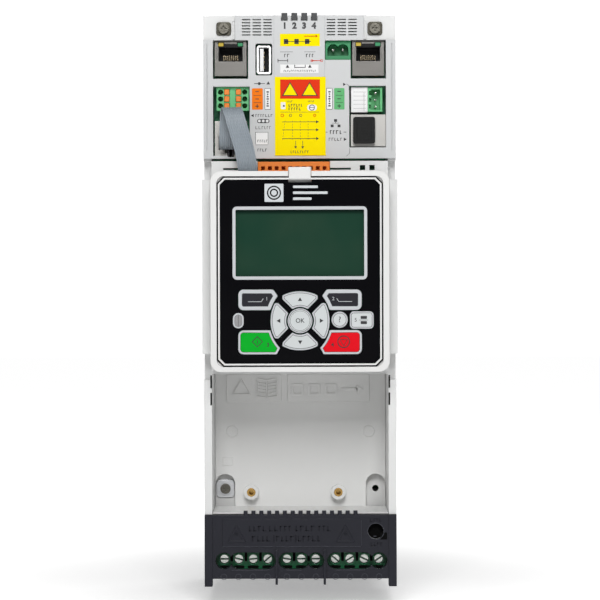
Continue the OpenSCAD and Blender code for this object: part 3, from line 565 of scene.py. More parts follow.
for x, r in ((-8.85, 0.85), (7.75, 0.75)):
    hoop(label.shape, x, 93.7, r, 0.28, label_front, sides=20)
bar(label.shape, 2.6, 134.3, 8.5, 134.3, 0.35, on_band_label)
arrow(label.shape, 8.8, 134.3, 0.8, -90, on_band_label)
bar(label.shape, 6.4, 121.8, 11.2, 121.8, 0.35, on_band)
for x in (6.4, 11.4):
    hoop(label.shape, x, 121.8, 0.8, 0.3, on_band, sides=4, turn=45)
label.done()
blank_signs = Print("plate_label_signs", label_yellow)
for x in (-4.8, 5.2):
    disc(blank_signs.shape, x, 106.1, 4.0, on_red_field, 0.06, 3)
blank_signs.done()

prints = Print("plate_print", ink)
inked = prints.shape
for i in range(4):
    lettering(inked, str(i + 1), (i - 1.5) * 5.0, 139.6, 3.0, on_band, bold=0.24)
for x in (-4.8, 5.2):
    hoop(inked, x, 106.1, 4.8, 0.8, on_red_field, sides=3)
# Small yellow label: three stations on a line
bar(inked, -7.4, 131.6, 5.8, 131.6, 0.3, on_band_label)
for x in (-6.8, -1.4, 4.0):
    slab(inked, x, 131.6, 2.3, 2.6, on_band_label, 0.05, 0.2)
# Row of the two end ports
for x in (-6.2, 5.0):
    dashes(inked, x - 1.6, x + 1.6, 124.4, 1.7, on_band, 0.35)
bar(inked, -10.8, 121.8, -6.0, 121.8, 0.35, on_band)
for x in (-11.0, -6.0):
    bar(inked, x, 121.0, x, 122.6, 0.35, on_band)
for x in (-6.1, 5.4):
    arrow(inked, x, 118.7, 1.1, 0, on_band_label)
bar(inked, -2.4, 118.3, 3.0, 118.3, 0.35, on_band_label)
for x in (-2.4, 3.0):
    bar(inked, x, 118.3, x, 119.6, 0.35, on_band_label)
dashes(inked, -8.0, 8.2, 116.5, 1.0, on_band_label, 0.22)
# Wiring lines on the large label
bar(inked, -9.8, 95.4, 10.0, 95.4, 0.18, label_front)
for x in (-4.6, 0.6):
    hoop(inked, x, 93.7, 0.75, 0.25, label_front, sides=20)
for z in (90.4, 86.3, 81.8):
    bar(inked, -8.8, z, 8.8, z, 0.28, label_front)
    arrow(inked, 9.0, z, 0.95, -90, label_front)
for x, lean in ((-7.4, 1.2), (-3.6, 0), (0.4, 0), (4.4, 0)):
    for k in range(7):
        z = 91.0 - k * 1.5
        bar(inked, x - lean * k / 6, z, x - lean * (k + 0.6) / 6, z - 0.8, 0.16, label_front)
for x in (-2.0, 1.6):
    bar(inked, x, 80.6, x, 77.6, 0.25, label_front)
    arrow(inked, x, 77.4, 0.85, 180, label_front)
dashes(inked, -5.6, 1.0, 98.9, 1.3, label_front, 0.35)
dashes(inked, -5.6, 1.0, 97.0, 1.3, label_front, 0.35)
for x in (-4.8, 6.0):
    dashes(inked, x - 1.6, x + 1.4, 100.9, 0.8, label_front, 0.2)
hoop(inked, 6.4, 97.7, 1.5, 0.35, on_label_field, sides=24)
bar(inked, 5.2, 97.7, 7.6, 97.7, 0.3, on_label_field)
disc(inked, -8.0, 98.6, 0.5, on_label_field)
dashes(inked, -4.6, 4.4, 75.0, 1.3, label_front, 0.25)
# Left of the label: port sign, terminal labels, bridge sign and socket sign
bar(inked, -23.2, 110.1, -17.8, 110.1, 0.3, on_plate)
disc(inked, -20.6, 110.1, 0.75, on_plate)
arrow(inked, -16.0, 110.2, 1.1, 0, on_plate)
for x, w in ((-21.6, 5.6), (20.45, 5.3)):
    for z in (100.3, 104.0):
        bar(inked, x - w / 2 + 0.9, z, x + w / 2 - 0.9, z, 0.2, on_plate_label)
    for z in (98.5, 102.2, 106.0):
        bar(inked, x - 0.9, z, x + 0.7, z, 0.4, on_plate_label)
    bar(inked, x - 0.1, 97.7, x - 0.1, 99.3, 0.4, on_plate_label)
for x in (-16.3, 15.4):
    for sx in (-1, 1):
        bar(inked, x + sx * 1.5, 97.0, x + sx * 1.5, 107.4, 0.22, on_plate_label)
        bar(inked, x - 1.4, 102.2 + sx * 5.4, x + 1.4, 102.2 + sx * 5.4, 0.22, on_plate_label)
    for k in range(7):
        slab(inked, x, 98.6 + k * 1.2, 1.2 - (k % 3) * 0.25, 0.7, on_plate_label, 0.05)
arrow(inked, -24.0, 93.7, 0.95, 90, on_plate)
dashes(inked, -22.6, -14.0, 93.7, 1.4, on_plate, 0.28)
slab(inked, -18.6, 90.9, 6.3, 2.1, on_plate, 0.06, 1.0)
dashes(inked, -22.6, -15.4, 87.5, 1.5, on_plate, 0.24)
for sx in (-1, 1):
    bar(inked, -19.4 + sx * 3.2, 79.0, -19.4 + sx * 3.2, 85.2, 0.2, on_plate_label)
    bar(inked, -22.6, 81.9 + sx * 3.2, -16.2, 81.9 + sx * 3.2, 0.2, on_plate_label)
dashes(inked, -21.6, -17.0, 80.6, 1.3, on_plate_label, 0.28)
dashes(inked, -21.6, -16.8, 76.0, 1.4, on_plate, 0.28)
# Right of the label: network sign, socket sign and the bracket lines round the plug-in part
for x, z in ((18.5, 91.1), (16.75, 88.3), (20.25, 88.3)):
    slab(inked, x, z, 1.5, 1.4, on_plate, 0.06, 0.1)
bar(inked, 18.5, 90.6, 18.5, 89.7, 0.2, on_plate)
bar(inked, 16.75, 89.7, 20.25, 89.7, 0.2, on_plate)
for x in (13.7, 23.3):
    bar(inked, x - 0.6, 85.1, x + 0.6, 85.1, 0.3, on_plate)
dashes(inked, 15.6, 21.6, 85.1, 1.8, on_plate, 0.42)
dashes(inked, 15.0, 21.0, 81.4, 1.5, on_plate, 0.28)
arrow(inked, 23.2, 81.4, 1.0, -90, on_plate)
arrow(inked, 22.9, 109.6, 0.95, -90, on_plate)
prints.done()
fine = Print("plate_print_fine", ink_grey)
for points in (((24.2, 109.8), (25.4, 108.8), (25.4, 106.5)),
               ((25.6, 76.8), (25.6, 74.2), (24.0, 72.8)),
               ((-9.9, 126.3), (-3.4, 126.3)), ((2.6, 126.3), (8.2, 126.3))):
    for (x1, z1), (x2, z2) in zip(points, points[1:]):
        bar(fine.shape, x1, z1, x2, z2, 0.2, on_band if x2 < 10 else on_plate)
fine.done()
dots = Print("plate_bridge_dots", label_white)
for k in (-1, 0, 1):
    disc(dots.shape, -18.6 + k * 2.0, 90.9, 0.72, on_plate_label)
dots.done()

# ---- Terminal base ----
# Blue-black moulding that carries the power terminals: windows over the clamp screws, a raised
# panel with moulded signs, and a round socket.
base_black = moulded("base_plastic", (0.014, 0.0145, 0.022), 0.4, 0.012, 1800, 0.15, 0.3,
                     gloss=0.28)
softened("terminal_base", 0.35, base_black, angle=50)
base_front = box_mm("terminal_base")[4] + 1.2
panel_y = base_front - 0.4
raised_black = moulded("base_signs", (0.01, 0.0105, 0.016), 0.55, 0.004, gloss=0.2)
marks = Print("base_signs", raised_black, slot_name="base_plastic")
for row, spans in ((-118.2, ((-26.5, -18.0), (-16.2, -4.4), (-2.6, 7.4), (9.2, 15.6))),
                   (-123.4, ((-25.0, -14.8), (-12.6, -3.6), (-1.4, 10.6)))):
    for x0, x1 in spans:
        dashes(marks.shape, x0, x1, row, 2.6, panel_y - 0.25, 0.55)
for x in (-13.7, -2.5):
    slab(marks.shape, x, -123.4, 0.4, 3.6, panel_y - 0.25, 0.3)
for x in (-32.8, 23):
    disc(marks.shape, x, -121.0, 0.8, panel_y - 0.3, 0.3)
for x0, x1, row in ((35.6, 41.8, -114.0), (36.0, 42.0, -126.4)):
    dashes(marks.shape, x0, x1, row, 1.7, base_front - 0.2, 0.35)
marks.done()
# Lighter grey lines on the edges of the raised panel and of the screw windows, and rings round
# the clamp screws: painted highlights where these edges catch the light.
edge_highlight_grey = moulded("base_edge_highlights", (0.05, 0.052, 0.066), 0.4, 0.004, gloss=0.4)
lines = Print("base_edge_highlight_lines", edge_highlight_grey, slot_name="base_plastic")
bar(lines.shape, -39.8, -127.5, 30.8, -127.5, 0.22, panel_y - 0.02, 0.1)
bar(lines.shape, 31.2, -127.0, 31.2, -114.0, 0.2, panel_y - 0.02, 0.1)
for x0, x1 in ((-35.4, -17.1), (-7.1, 0.4), (17.9, 32.8)):
    bar(lines.shape, x0, -139.6, x1, -139.6, 0.3, base_front - 0.04, 0.1)
# The clamp screws stand in three groups: the place of the first and how many
clamp_pitch = 7.45
screw_groups = ((-39.4, 4), (-7.1, 3), (17.9, 4))
for first_x, count in screw_groups:
    for i in range(count):
        hoop(lines.shape, first_x + i * clamp_pitch, -143.0, 1.6, 0.25, base_front - 0.03, 0.08,
             24)
lines.done()
socket_x, socket_z = 38.6, -119.8
# Black back inside the socket and a black patch for the keyhole slot beside it: painted shade.
socket = Print("base_socket_painted_shade", painted_shade_black, slot_name="base_plastic")
disc(socket.shape, socket_x, socket_z, 4.0, base_front + 4.0, 1.0, 32)
slab(socket.shape, socket_x + 4.0, socket_z - 2.4, 3.6, 3.6, base_front - 0.05, 0.1, 0.3)
socket.done()
# Lighter grey rim round the socket and a small strip at the bottom inside it: painted highlights.
socket_rim_highlight = Print("base_socket_rim_highlight", edge_highlight_grey, slot_name="base_plastic")
hoop(socket_rim_highlight.shape, socket_x, socket_z, 4.35, 0.3, base_front - 0.06, 0.12, 40)
slab(socket_rim_highlight.shape, socket_x - 0.4, socket_z - 2.8, 1.8, 0.5, base_front + 3.2, 0.5, 0.2)
socket_rim_highlight.done()

# ---- Power terminals ----
# Green polyamide blocks behind the windows of the base, with a dark collar round each slotted
# clamp screw. The wire hole below each screw, and the gaps between screws, are painted shade.
block_green = moulded("power_block_green", (0.008, 0.12, 0.045), 0.35, 0.006, gloss=0.4)
well_green = moulded("well_green", (0.015, 0.2, 0.08), 0.3, 0.004, gloss=0.5)
paint("power_terminal_blocks", block_green)
_, screw_z, _, _, screw_y = box_mm("power_clamp_screws")
collars = Print("screw_collars", well_green, slot_name="terminal_dark_green")
# Black strips between the screws and black patches for the wire holes below them: painted shade.
shades = Print("screw_wells_painted_shade", painted_shade_black, slot_name="terminal_dark_green")
# Dark green patches at the bottom of the screw slots: painted shade.
slot_shade = Print("screw_slots_painted_shade", well_green, slot_name="plated_pin")
slot_turns = iter((0, 15, -5, -40, 10, 0, 0, 40, -30, 25, -35))
for first_x, count in screw_groups:
    for i in range(count):
        x = first_x + i * clamp_pitch
        hoop(collars.shape, x, screw_z, 3.0, 0.5, screw_y - 2.0, 2.4, 32)
        if i:
            slab(shades.shape, x - clamp_pitch / 2, screw_z + 1.2, 1.3, 4.6, screw_y - 1.2, 0.3,
                 0.3)
        slab(shades.shape, x, screw_z - 4.1, 5.6, 1.4, screw_y - 1.15, 0.2, 0.5)
        slab(slot_shade.shape, x, screw_z, 4.1, 0.55, screw_y + 0.35, 0.3, turn=-next(slot_turns))
for details in (collars, shades, slot_shade):
    details.done()
bright_screw = drawn_metal("clamp_screw", (0.82, 0.84, 0.8), 0.28, "x", 0.002)
softened("power_clamp_screws", 0.25, bright_screw)

# ---- Boards and parts inside ----
# Green glass-fibre boards on brass spacers, capacitors in their shrink sleeve, the moulded power
# module and the choke wound with enamelled copper.
laminate = moulded("board_laminate", (0.01, 0.16, 0.07), 0.3, 0.02, 900, 0.25, 0.1)
sleeve = moulded("capacitor_sleeve", (0.02, 0.03, 0.12), 0.25, 0.004)
module_black = moulded("module_case", (0.03, 0.03, 0.033), 0.5)
winding = drawn_metal("choke_winding", (0.5, 0.2, 0.08), 0.3, "y", 0.1)
brass = drawn_metal("brass", (0.5, 0.31, 0.1), 0.22, "y", 0.002)
for node in ("control_board", "power_board", "keypad_board"):
    paint(node, laminate)
paint("dc_link_capacitors", sleeve)
paint("power_module", module_black)
paint("line_choke", winding)
for node in ("board_standoffs", "brass_inserts"):
    paint(node, brass)

# ---- Ports ----
# Modular jacks in tin-plated shields, with a black insert that holds the gilt contacts and two
# light windows; the USB port with its white tongue; the stamped earth tabs.
shield_tin = drawn_metal("jack_shield", (0.2, 0.193, 0.182), 0.36, "x", 0.003)
for node in ("rj45_left", "rj45_right"):
    paint(node, shield_tin)
pale_tin = drawn_metal("pale_shield", (0.46, 0.45, 0.43), 0.42, "z", 0.003)
for node in ("rj45_keypad_port", "rj45_lan"):
    paint(node, pale_tin)
insert_black = moulded("jack_insert", (0.006, 0.006, 0.007), 0.5, gloss=0.2)
gilt = drawn_metal("gilt_contact", (0.55, 0.45, 0.3), 0.25, "y", 0.001)
window_yellow = moulded("window_yellow", (0.5, 0.36, 0.02), 0.3, 0.002)
window_green = moulded("window_green", (0.02, 0.26, 0.1), 0.3, 0.002)
for side in ("left", "right"):
    x, z, _, _, jack_y = box_mm("rj45_" + side)
    insert = Print(f"jack_insert_{side}", insert_black, slot_name="plug_plastic")
    hollow(insert.shape, (x, z + 2.2, 12.3, 7.3, 0.2), (x, z + 2.2, 11.5, 6.7, 0.2),
           jack_y + 0.3, 8.5)
    slab(insert.shape, x, z + 2.2, 12.3, 7.3, jack_y + 8.6, 1.0)
    for s in (-1, 1):
        slab(insert.shape, x + s * 4.9, z + 7.15, 3.3, 2.6, jack_y - 0.12, 0.2, 0.2, 0.05)
    slab(insert.shape, x, z + 7.2, 6.3, 2.6, jack_y + 0.4, 6)
    insert.done()
    contacts = Print(f"jack_contacts_{side}", gilt, slot_name="plated_pin")
    for k in range(8):
        slab(contacts.shape, x + (k - 3.5) * 1.02, z + 0.5, 0.42, 2.6, jack_y + 3.2, 4.0, 0.1)
    contacts.done()
    for s, name, finish in ((-1, "yellow", window_yellow), (1, "green", window_green)):
        lamp_window = Print(f"jack_{name}_{side}", finish, slot_name="light_pipe")
        slab(lamp_window.shape, x + s * 4.95, z + 7.2, 2.6, 1.8, jack_y - 0.2, 0.2, 0.3, 0.05)
        lamp_window.done()
    seam = Print(f"jack_seams_{side}", ink_grey, slot_name="jack_shield")
    for s in (-1, 1):
        slab(seam.shape, x + s * 7.0, z + 2.6, 0.22, 5.5, jack_y - 0.02, 0.1)
        slab(seam.shape, x + s * 7.4, z + 5.3, 0.9, 0.22, jack_y - 0.02, 0.1)
    seam.done()

# USB port
bright_shell = drawn_metal("usb_shell", (0.9, 0.9, 0.9), 0.4, "z", 0.002)
softened("usb_shell", 0.25, bright_shell)
white_insulator = moulded("tongue_plastic", (0.85, 0.85, 0.85), 0.3)
paint("usb_tongue", white_insulator)
x, z, _, _, front = box_mm("usb_tongue")
contacts = Print("usb_contacts", gilt, slot_name="plated_pin")
for k in range(4):
    slab(contacts.shape, x + 1.15, z + (k - 1.5) * 2.5, 0.5, 1.1, front + 0.3, 5, 0.1)
contacts.done()
throat = Print("usb_throat", insert_black, slot_name="plug_plastic")
slab(throat.shape, x + 1.1, z, 4.9, 12.3, front + 7, 0.8)
throat.done()

# Marker block with its write-on fields, earth tabs and the dust plug
softened("marker_block", 0.3, white_insulator)
x, z, width, _, front = box_mm("marker_block")
fields = Print("marker_lines", ink_grey, slot_name="tongue_plastic")
for k in range(5):
    slab(fields.shape, x + 0.2, z - 4.4 + k * 2.1, width - 2.2, 0.12, front - 0.03, 0.05)
slab(fields.shape, x + 2.4, z - 1, 0.12, 9.5, front - 0.03, 0.05)
fields.done()
tab_steel = Finish("earth_tab_steel", Metallic=1.0)
place = tab_steel.node("TexCoord", output="Object")
grain = tab_steel.noise(tab_steel.node("Mapping", {"Vector": place, "Scale": (40, 1400, 1400)}),
                        1, 3)
level = tab_steel.node("SeparateXYZ", {0: place}, output=2)
upper = tab_steel.node("MapRange", {0: level, 1: -0.01, 2: 0.01})
tarnish = tab_steel.mixed(grain, (0.05, 0.047, 0.038), (0.09, 0.085, 0.07))
bright = tab_steel.mixed(grain, (0.6, 0.61, 0.63), (0.75, 0.76, 0.78))
softened("earth_tabs", 0.3, tab_steel.feed(
    Base_Color=tab_steel.mixed(upper, bright, tarnish), Roughness=0.3 + grain * 0.15,
    Normal=tab_steel.node("Bump", {"Height": grain, "Distance": 0.004 * MM})))
plug_rubber = moulded("dust_plug_rubber", (0.006, 0.006, 0.006), 0.45, 0.02, gloss=0.2)
softened("dust_plug", 0.8, plug_rubber, "dust_plug", 3)
x, z, width, height, front = box_mm("dust_plug")
grip = Print("dust_plug_ribs", plug_rubber, "dust_plug", "dust_plug_rubber")
hollow(grip.shape, (x, z, width - 3.4, height - 3.4, 1.0), (x, z, width - 4.4, height - 4.4, 0.7),
       front - 0.12, 0.3)
for k in range(4):
    slab(grip.shape, x, z + (k - 1.5) * 1.5, 3.6, 0.5, front - 0.12, 0.3, 0.15)
grip.done()

# ---- Terminals ----
# Pluggable terminals and headers moulded in green and orange polyamide, with tin-plated pins
# and levers that press the spring clamps open.
green = moulded("terminal_green", (0.12, 0.5, 0.2), 0.4)
dark_green = moulded("terminal_dark_green", (0.02, 0.25, 0.09), 0.4)
orange = moulded("terminal_orange", (0.85, 0.22, 0.012), 0.4)
plated = drawn_metal("plated_pin", (0.8, 0.79, 0.75), 0.2, "x", 0.002)
for node in ("spring_terminal", "header_3pin"):
    paint(node, green)
paint("header_2pin", dark_green)
paint("strip_terminal", orange)
for i in range(1, 7):
    paint(f"release_lever_{i}", orange)
paint("header_pins", plated)
paint("earth_screws", drawn_metal("earth_screw_steel", (0.16, 0.152, 0.13), 0.34, "x", 0.003))
smoked = moulded("light_pipe", (0.055, 0.057, 0.06), 0.25)
paint("led_light_pipes", smoked)

# ---- Ribbon cable ----
# Ten-wire flat grey cable, moulded as a row of ridges, from its black plug in the keypad port
# over to the keypad.
ribbon_route = [Vector(p) * MM for p in (
    (-36, -153, 76.5), (-36, -156.5, 78), (-36, -158.8, 82), (-35.9, -159.8, 87),
    (-35.6, -160.8, 92.3), (-35.2, -163, 95.9), (-34.5, -166, 96.3), (-33.4, -168.2, 93.8),
    (-32.0, -169.3, 89), (-30.2, -169.4, 83), (-28.5, -168.6, 77.3), (-27.2, -167, 71.2),
    (-26.4, -165, 65.5), (-26, -163.4, 60.4))]
ribbon_wires = 10
wire_r = 0.5


def along_route(u):
    """Point on the smooth curve through the route, u from 0 to its last index."""
    i = min(int(u), len(ribbon_route) - 2)
    t = u - i
    a, b, c, d = (ribbon_route[max(0, min(len(ribbon_route) - 1, i + k))]
                  for k in (-1, 0, 1, 2))
    return 0.5 * (2 * b + (c - a) * t + (2 * a - 5 * b + 4 * c - d) * t ** 2
                  + (3 * b - a - 3 * c + d) * t ** 3)


def ribbon_frame(u):
    """Matrix that carries a cross section, drawn flat on X and Y, to its place."""
    last = len(ribbon_route) - 1
    along = (along_route(min(u + 0.1, last)) - along_route(max(u - 0.1, 0))).normalized()
    across = (Vector((1, 0, 0)) - along * along.x).normalized()
    out = along.cross(across)
    return Matrix.Translation(along_route(u)) @ Matrix((across, out, along)).transposed().to_4x4()


ribbon = bmesh.new()
rim = []
for side in (1, -1):
    for k in range(ribbon_wires):
        middle = (k - (ribbon_wires - 1) / 2) * side * -2 * wire_r
        for angle in (153, 117, 90, 63, 27):
            rim.append(ribbon.verts.new((
                (middle + side * 0.98 * wire_r * math.cos(math.radians(angle))) * MM,
                side * 0.92 * wire_r * math.sin(math.radians(angle)) * MM, 0)))
loop = [ribbon.edges.new((a, b)) for a, b in zip(rim, rim[1:] + rim[:1])]
ribbon.faces.new(rim)
steps = 6 * (len(ribbon_route) - 1)
bmesh.ops.transform(ribbon, matrix=ribbon_frame(0), verts=ribbon.verts)
for step in range(1, steps + 1):
    made = bmesh.ops.extrude_edge_only(ribbon, edges=loop)["geom"]
    moved = [g for g in made if isinstance(g, bmesh.types.BMVert)]
    ring = set(moved)
    loop = [g for g in made if isinstance(g, bmesh.types.BMEdge)
            and g.verts[0] in ring and g.verts[1] in ring]
    turn = ribbon_frame(step / 6) @ ribbon_frame((step - 1) / 6).inverted()
    bmesh.ops.transform(ribbon, matrix=turn, verts=moved)
bmesh.ops.contextual_create(ribbon, geom=loop)
bmesh.ops.recalc_face_normals(ribbon, faces=ribbon.faces)
jacket = Finish("ribbon_jacket", Specular_IOR_Level=0.5, Coat_Weight=0.0)
place = jacket.node("TexCoord", output="Object")
cloud = jacket.noise(place, 60, 3)
speck = jacket.noise(place, 3000)
jacket_grey = jacket.feed(
    Base_Color=jacket.mixed(cloud, (0.23, 0.265, 0.3), (0.3, 0.34, 0.375)),
    Roughness=0.3 + cloud * 0.15,
    Normal=jacket.node("Bump", {"Height": speck, "Distance": 0.004 * MM}))
cable = place_piece("ribbon_cable", ribbon, jacket_grey,
                    replaced=["keypad_ribbon"])
cable.data.shade_smooth()
cable.data.set_sharp_from_angle(angle=math.radians(60))
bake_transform(cable)

plug_black = moulded("plug_plastic", (0.03, 0.026, 0.03), 0.4, gloss=0.35)
softened("ribbon_plug", 0.5, plug_black)
x, z, _, _, front = box_mm("ribbon_plug")
grip = Print("ribbon_plug_ribs", plug_black, slot_name="plug_plastic")
for k in range(3):
    slab(grip.shape, x, z - 1.6 + k * 1.1, 5.4, 0.45, front - 0.15, 0.4, 0.2)
slab(grip.shape, x, z - 5.2, 3.4, 4.4, front + 2.4, 1.6, 0.5, 0.3)
grip.done()

# ---- Keypad shell, panel and display ----
# White gloss shell with rounded corners, a raised lip round the glossy black panel, and a
# silver frame round the window of the reflective green display.
shell_white = moulded("keypad_shell", (0.78, 0.78, 0.77), 0.3, 0.004, coat=0.2)
panel_black = moulded("panel_gloss", (0.003, 0.003, 0.004), 0.14, 0.001, edge=0.2, gloss=0.12)
silver_paint = moulded("key_silver", (0.56, 0.58, 0.6), 0.3, 0.003)
paint("keypad_panel", panel_black)
softened("keypad_body", 0.9, shell_white, "keypad", 3)
softened("keypad_latch", 0.4, shell_white, "keypad_latch")


_, pad_z, _, _, pad_front = box_mm("keypad_body")
panel_x, panel_z, panel_w, panel_h, panel_front = box_mm("keypad_panel")


def cut_corner_frame(shape, grow_out, grow_in, cut, front, depth):
    """Lip that follows the panel's outline, between two distances outside it."""
    flat = bmesh.new()
    slab(flat, panel_x, panel_z, panel_w + 2 * grow_out, panel_h + 2 * grow_out, front, depth,
         cut, steps=1)
    face = min(flat.faces, key=lambda f: (round(f.normal.y, 2), -f.calc_area()))
    bmesh.ops.delete(flat, geom=[f for f in flat.faces if f is not face], context="FACES")
    bmesh.ops.inset_region(flat, faces=[face], thickness=(grow_out - grow_in) * MM,
                           use_even_offset=True, use_boundary=True)
    bmesh.ops.delete(flat, geom=[face], context="FACES")
    thicken(flat, flat.faces[:], depth)
    mesh = bpy.data.meshes.new("lip")
    flat.to_mesh(mesh)
    flat.free()
    shape.from_mesh(mesh)


latch_x, latch_z, latch_w, latch_h, latch_front = box_mm("keypad_latch")
guide = Print("latch_guide", shell_white, "keypad", "keypad_shell")
slab(guide.shape, latch_x, latch_z - 1.2, latch_w + 0.5, latch_h + 2.4, latch_front + 4.1, 1)
guide.done()
# The lip is the shell's white painted a little lighter: painted light where the lip catches the
# lamp.
lip_white_lit = moulded("panel_lip", (0.8, 0.8, 0.79), 0.3, 0.004)
lip = Print("panel_lip", lip_white_lit, "keypad", "keypad_shell")
cut_corner_frame(lip.shape, 0.9, 0.04, 3.1, pad_front + 0.15, 1.5)
shaded(lip.done())
gutter = Print("panel_gutter", panel_black, "keypad", "panel_gloss")
cut_corner_frame(gutter.shape, 1.62, 0.95, 3.4, pad_front + 1.2, 0.7)
gutter.done()

lcd_x = box_mm("lcd_display")[0]
window_z = pad_z + 14.4
window = Print("display_frame", silver_paint, "keypad", "key_grey")
hollow(window.shape, (lcd_x, window_z, 68.1, 37.0, 2.2), (lcd_x, window_z, 65.0, 33.7, 0.5),
       panel_front - 0.06, 0.3)
shaded(window.done())

# Display: dark green reflective film behind clear glass, in shade under the upper edge
glass = Finish("display_glass", Roughness=0.16, Specular_IOR_Level=0.16)
place = glass.node("TexCoord", output="Object")
blotch = glass.noise(place, 38, 2)
height = glass.node("SeparateXYZ", {0: place}, output=2)
shadow = glass.node("MapRange", {0: height, 1: 0.0421, 2: 0.0432, 3: 0.0, 4: 1.0})
film = glass.mixed(blotch, (0.006, 0.042, 0.026), (0.024, 0.055, 0.034))
paint("lcd_display", glass.feed(Base_Color=glass.mixed(shadow, film, (0.005, 0.02, 0.013))))

# Plain mark above the display: two rings on a square, and three bars
mark_white = moulded("print_silver", (0.62, 0.65, 0.67), 0.35, 0.001)
mark_x, mark_z = -13.0, 53.2
mark = Print("panel_mark", mark_white, "keypad", "key_grey")
slab(mark.shape, mark_x, mark_z, 9.6, 9.2, panel_front - 0.05, 0.06, 0.4)
for i, width in enumerate((12.6, 17.5, 9.4)):
    slab(mark.shape, mark_x + 9.6 + width / 2, mark_z + 3 - i * 3.0, width, 1.3,
         panel_front - 0.05, 0.06, 0.3)
mark.done()
mark = Print("panel_mark_rings", panel_black, "keypad", "panel_gloss")
for radius in (3.6, 2.1):
    hoop(mark.shape, mark_x, mark_z, radius, 0.7, panel_front - 0.09, 0.05)
mark.done()

# Status light: a pill of grey diffuser in a silver rim
light_x, light_z = -31.2, -11.4
pill = Print("status_rim", silver_paint, "keypad", "key_grey")
hollow(pill.shape, (light_x, light_z, 5.4, 7.7, 2.6), (light_x, light_z, 3.9, 6.1, 1.9),
       panel_front - 0.35, 0.6)
shaded(pill.done())
diffuser = moulded("status_diffuser", (0.3, 0.3, 0.31), 0.3, 0.02)
pill = Print("status_light", diffuser, "keypad", "key_grey")
slab(pill.shape, light_x, light_z, 3.8, 6.0, panel_front - 0.2, 0.4, 2.0, 0.1)
shaded(pill.done())

# ---- Keys ----
# Silver-rimmed keys of moulded plastic, each with a coloured cap let into its face, which a
# thin dark line parts from the rim, and a printed sign.
key_cap = moulded("key_grey", (0.6, 0.63, 0.635), 0.35, 0.004)
key_black = moulded("key_black", (0.02, 0.019, 0.025), 0.3, 0.004, gloss=0.25)
key_green = moulded("key_green", (0.0, 0.4, 0.02), 0.3, 0.004, gloss=0.15)
key_red = moulded("key_red", (0.74, 0.003, 0.012), 0.3, 0.004, gloss=0.15)
key_front = box_mm("key_ok")[4]


def key_copy(node):
    """The key with its upright corners rounded."""
    shape = cad_copy(node)
    upright = sharp_edges(shape, 22, lambda e: abs((e.verts[0].co - e.verts[1].co).x) < 1e-6
                          and abs((e.verts[0].co - e.verts[1].co).z) < 1e-6)
    bmesh.ops.bevel(shape, geom=upright, offset=0.7 * MM, segments=4, affect="EDGES",
                    profile=0.5, material=-1, clamp_overlap=True)
    return shape


def key_outline(node, inset, width=None):
    """The key's face pulled in by inset mm, or only the line of a width just inside that.
    It goes in by short steps, and edges that have shrunk to nothing are merged on the way."""
    step, merge = 0.2, 0.16
    shape = key_copy(node)
    face = min(shape.faces, key=lambda f: (round(f.calc_center_median().y / MM, 2),
                                           -f.calc_area()))
    bmesh.ops.delete(shape, geom=[f for f in shape.faces if f is not face], context="FACES")
    for distance, kept in ((inset, False), (width or 0, True)):
        steps = math.ceil(distance / step)
        for _ in range(steps):
            ring = bmesh.ops.inset_region(shape, faces=[face], use_even_offset=True,
                                          thickness=distance / steps * MM,
                                          use_boundary=True)["faces"]
            if not kept:
                bmesh.ops.delete(shape, geom=ring, context="FACES")
                bmesh.ops.remove_doubles(shape, verts=shape.verts, dist=merge * MM)
                face = next(iter(shape.faces))
    if width:
        bmesh.ops.delete(shape, geom=[face], context="FACES")
    return shape


def key_layer(name, shape, shift, depth, material, body, edge=0.0):
    """A layer on a key's face, its front shift mm behind the key's front."""
    bmesh.ops.translate(shape, vec=(0, shift * MM, 0), verts=shape.verts)
    thicken(shape, shape.faces[:], depth)
    if edge:
        front = min(v.co.y for v in shape.verts)
        rim = [e for e in shape.edges if all(v.co.y < front + 1e-6 for v in e.verts)
               and e.calc_face_angle(0) > 0.5]
        bmesh.ops.bevel(shape, geom=rim, offset=edge * MM, segments=2, affect="EDGES",
                        profile=0.5, material=-1)
    return shaded(place_piece(name, shape, material, body))


key_kinds = {"ok": (key_cap, 0.55, "key_grey")}
for kind in ("up", "down", "left", "right"):
    key_kinds[kind] = (key_cap, 0.75, "key_grey")
for kind in ("help", "mode"):
    key_kinds[kind] = (key_cap, 0.7, "key_grey")
for kind in ("soft_left", "soft_right"):
    key_kinds[kind] = (key_black, 1.85, "key_black")
key_kinds["start"] = (key_green, 1.0, "key_green")
key_kinds["stop"] = (key_red, 1.0, "key_red")
for kind, (cap, rim, slot_name) in key_kinds.items():
    body = "key_" + kind
    softened(body, 0.3, silver_paint, body, shape=key_copy(body))
    key_layer(body + "_line", key_outline(body, rim, 0.24), -0.03, 0.2, ink, body)
    key_layer(body + "_cap", key_outline(body, rim + 0.2), -0.12, 0.3, cap, body,
              0.08)

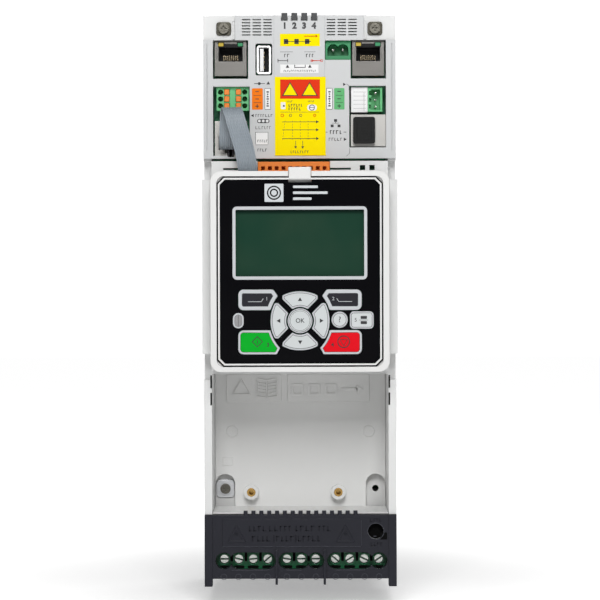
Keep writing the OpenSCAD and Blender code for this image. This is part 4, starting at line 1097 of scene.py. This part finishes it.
sign_front = key_front - 0.15
cross_z = box_mm("key_ok")[1]
cross_r = 10.6
for kind, turn in (("up", 0), ("left", 90), ("down", 180), ("right", -90)):
    sign = Print(f"key_{kind}_sign", ink, "key_" + kind)
    angle = math.radians(90 + turn)
    disc(sign.shape, cross_r * math.cos(angle), cross_z + cross_r * math.sin(angle), 1.25,
         sign_front, 0.05, 3, turn)
    sign.done()
sign = Print("key_ok_sign", ink, "key_ok")
hoop(sign.shape, 0, cross_z, 5.0, 0.14, sign_front)
lettering(sign.shape, "OK", 0, cross_z, 2.2, sign_front, bold=0.03)
sign.done()
x, z = box_mm("key_help")[:2]
sign = Print("key_help_sign", ink, "key_help")
lettering(sign.shape, "?", x, z, 2.9, sign_front, bold=0.03)
sign.done()
x, z = box_mm("key_mode")[:2]
sign = Print("key_mode_sign", ink, "key_mode")
lettering(sign.shape, "5", x - 3.1, z, 1.9, sign_front)
for row in (1.3, -1.3):
    slab(sign.shape, x + 1.0, z + row, 3.2, 1.5, sign_front, 0.05, 0.3)
bar(sign.shape, x - 1.2, z, x + 3.2, z, 0.2, sign_front)
sign.done()
for kind, side, number in (("soft_left", -1, "1"), ("soft_right", 1, "2")):
    x, z = box_mm("key_" + kind)[:2]
    sign = Print(f"key_{kind}_sign", mark_white, "key_" + kind)
    bar(sign.shape, x + side * 5.0, z - 0.9, x - side * 1.6, z - 0.9, 0.28, sign_front)
    bar(sign.shape, x - side * 1.6, z - 0.9, x - side * 2.6, z + 0.6, 0.28, sign_front)
    lettering(sign.shape, number, x - side * 4.4, z + 0.5, 1.8, sign_front)
    sign.done()
x, z = box_mm("key_start")[:2]
sign = Print("key_start_sign", ink, "key_start")
hoop(sign.shape, x - 0.9, z + 0.3, 2.9, 0.6, sign_front, sides=4)
bar(sign.shape, x - 0.9, z - 0.6, x - 0.9, z + 1.2, 0.35, sign_front)
lettering(sign.shape, "3", x + 4.4, z - 1.4, 2.1, sign_front, bold=0.04)
sign.done()
x, z = box_mm("key_stop")[:2]
sign = Print("key_stop_sign", ink, "key_stop")
hoop(sign.shape, x + 1.3, z + 0.2, 3.2, 0.5, sign_front)
hoop(sign.shape, x + 1.3, z + 0.2, 2.4, 0.55, sign_front, sides=3, turn=180)
lettering(sign.shape, "4", x - 4.3, z - 1.4, 2.1, sign_front, bold=0.04)
sign.done()
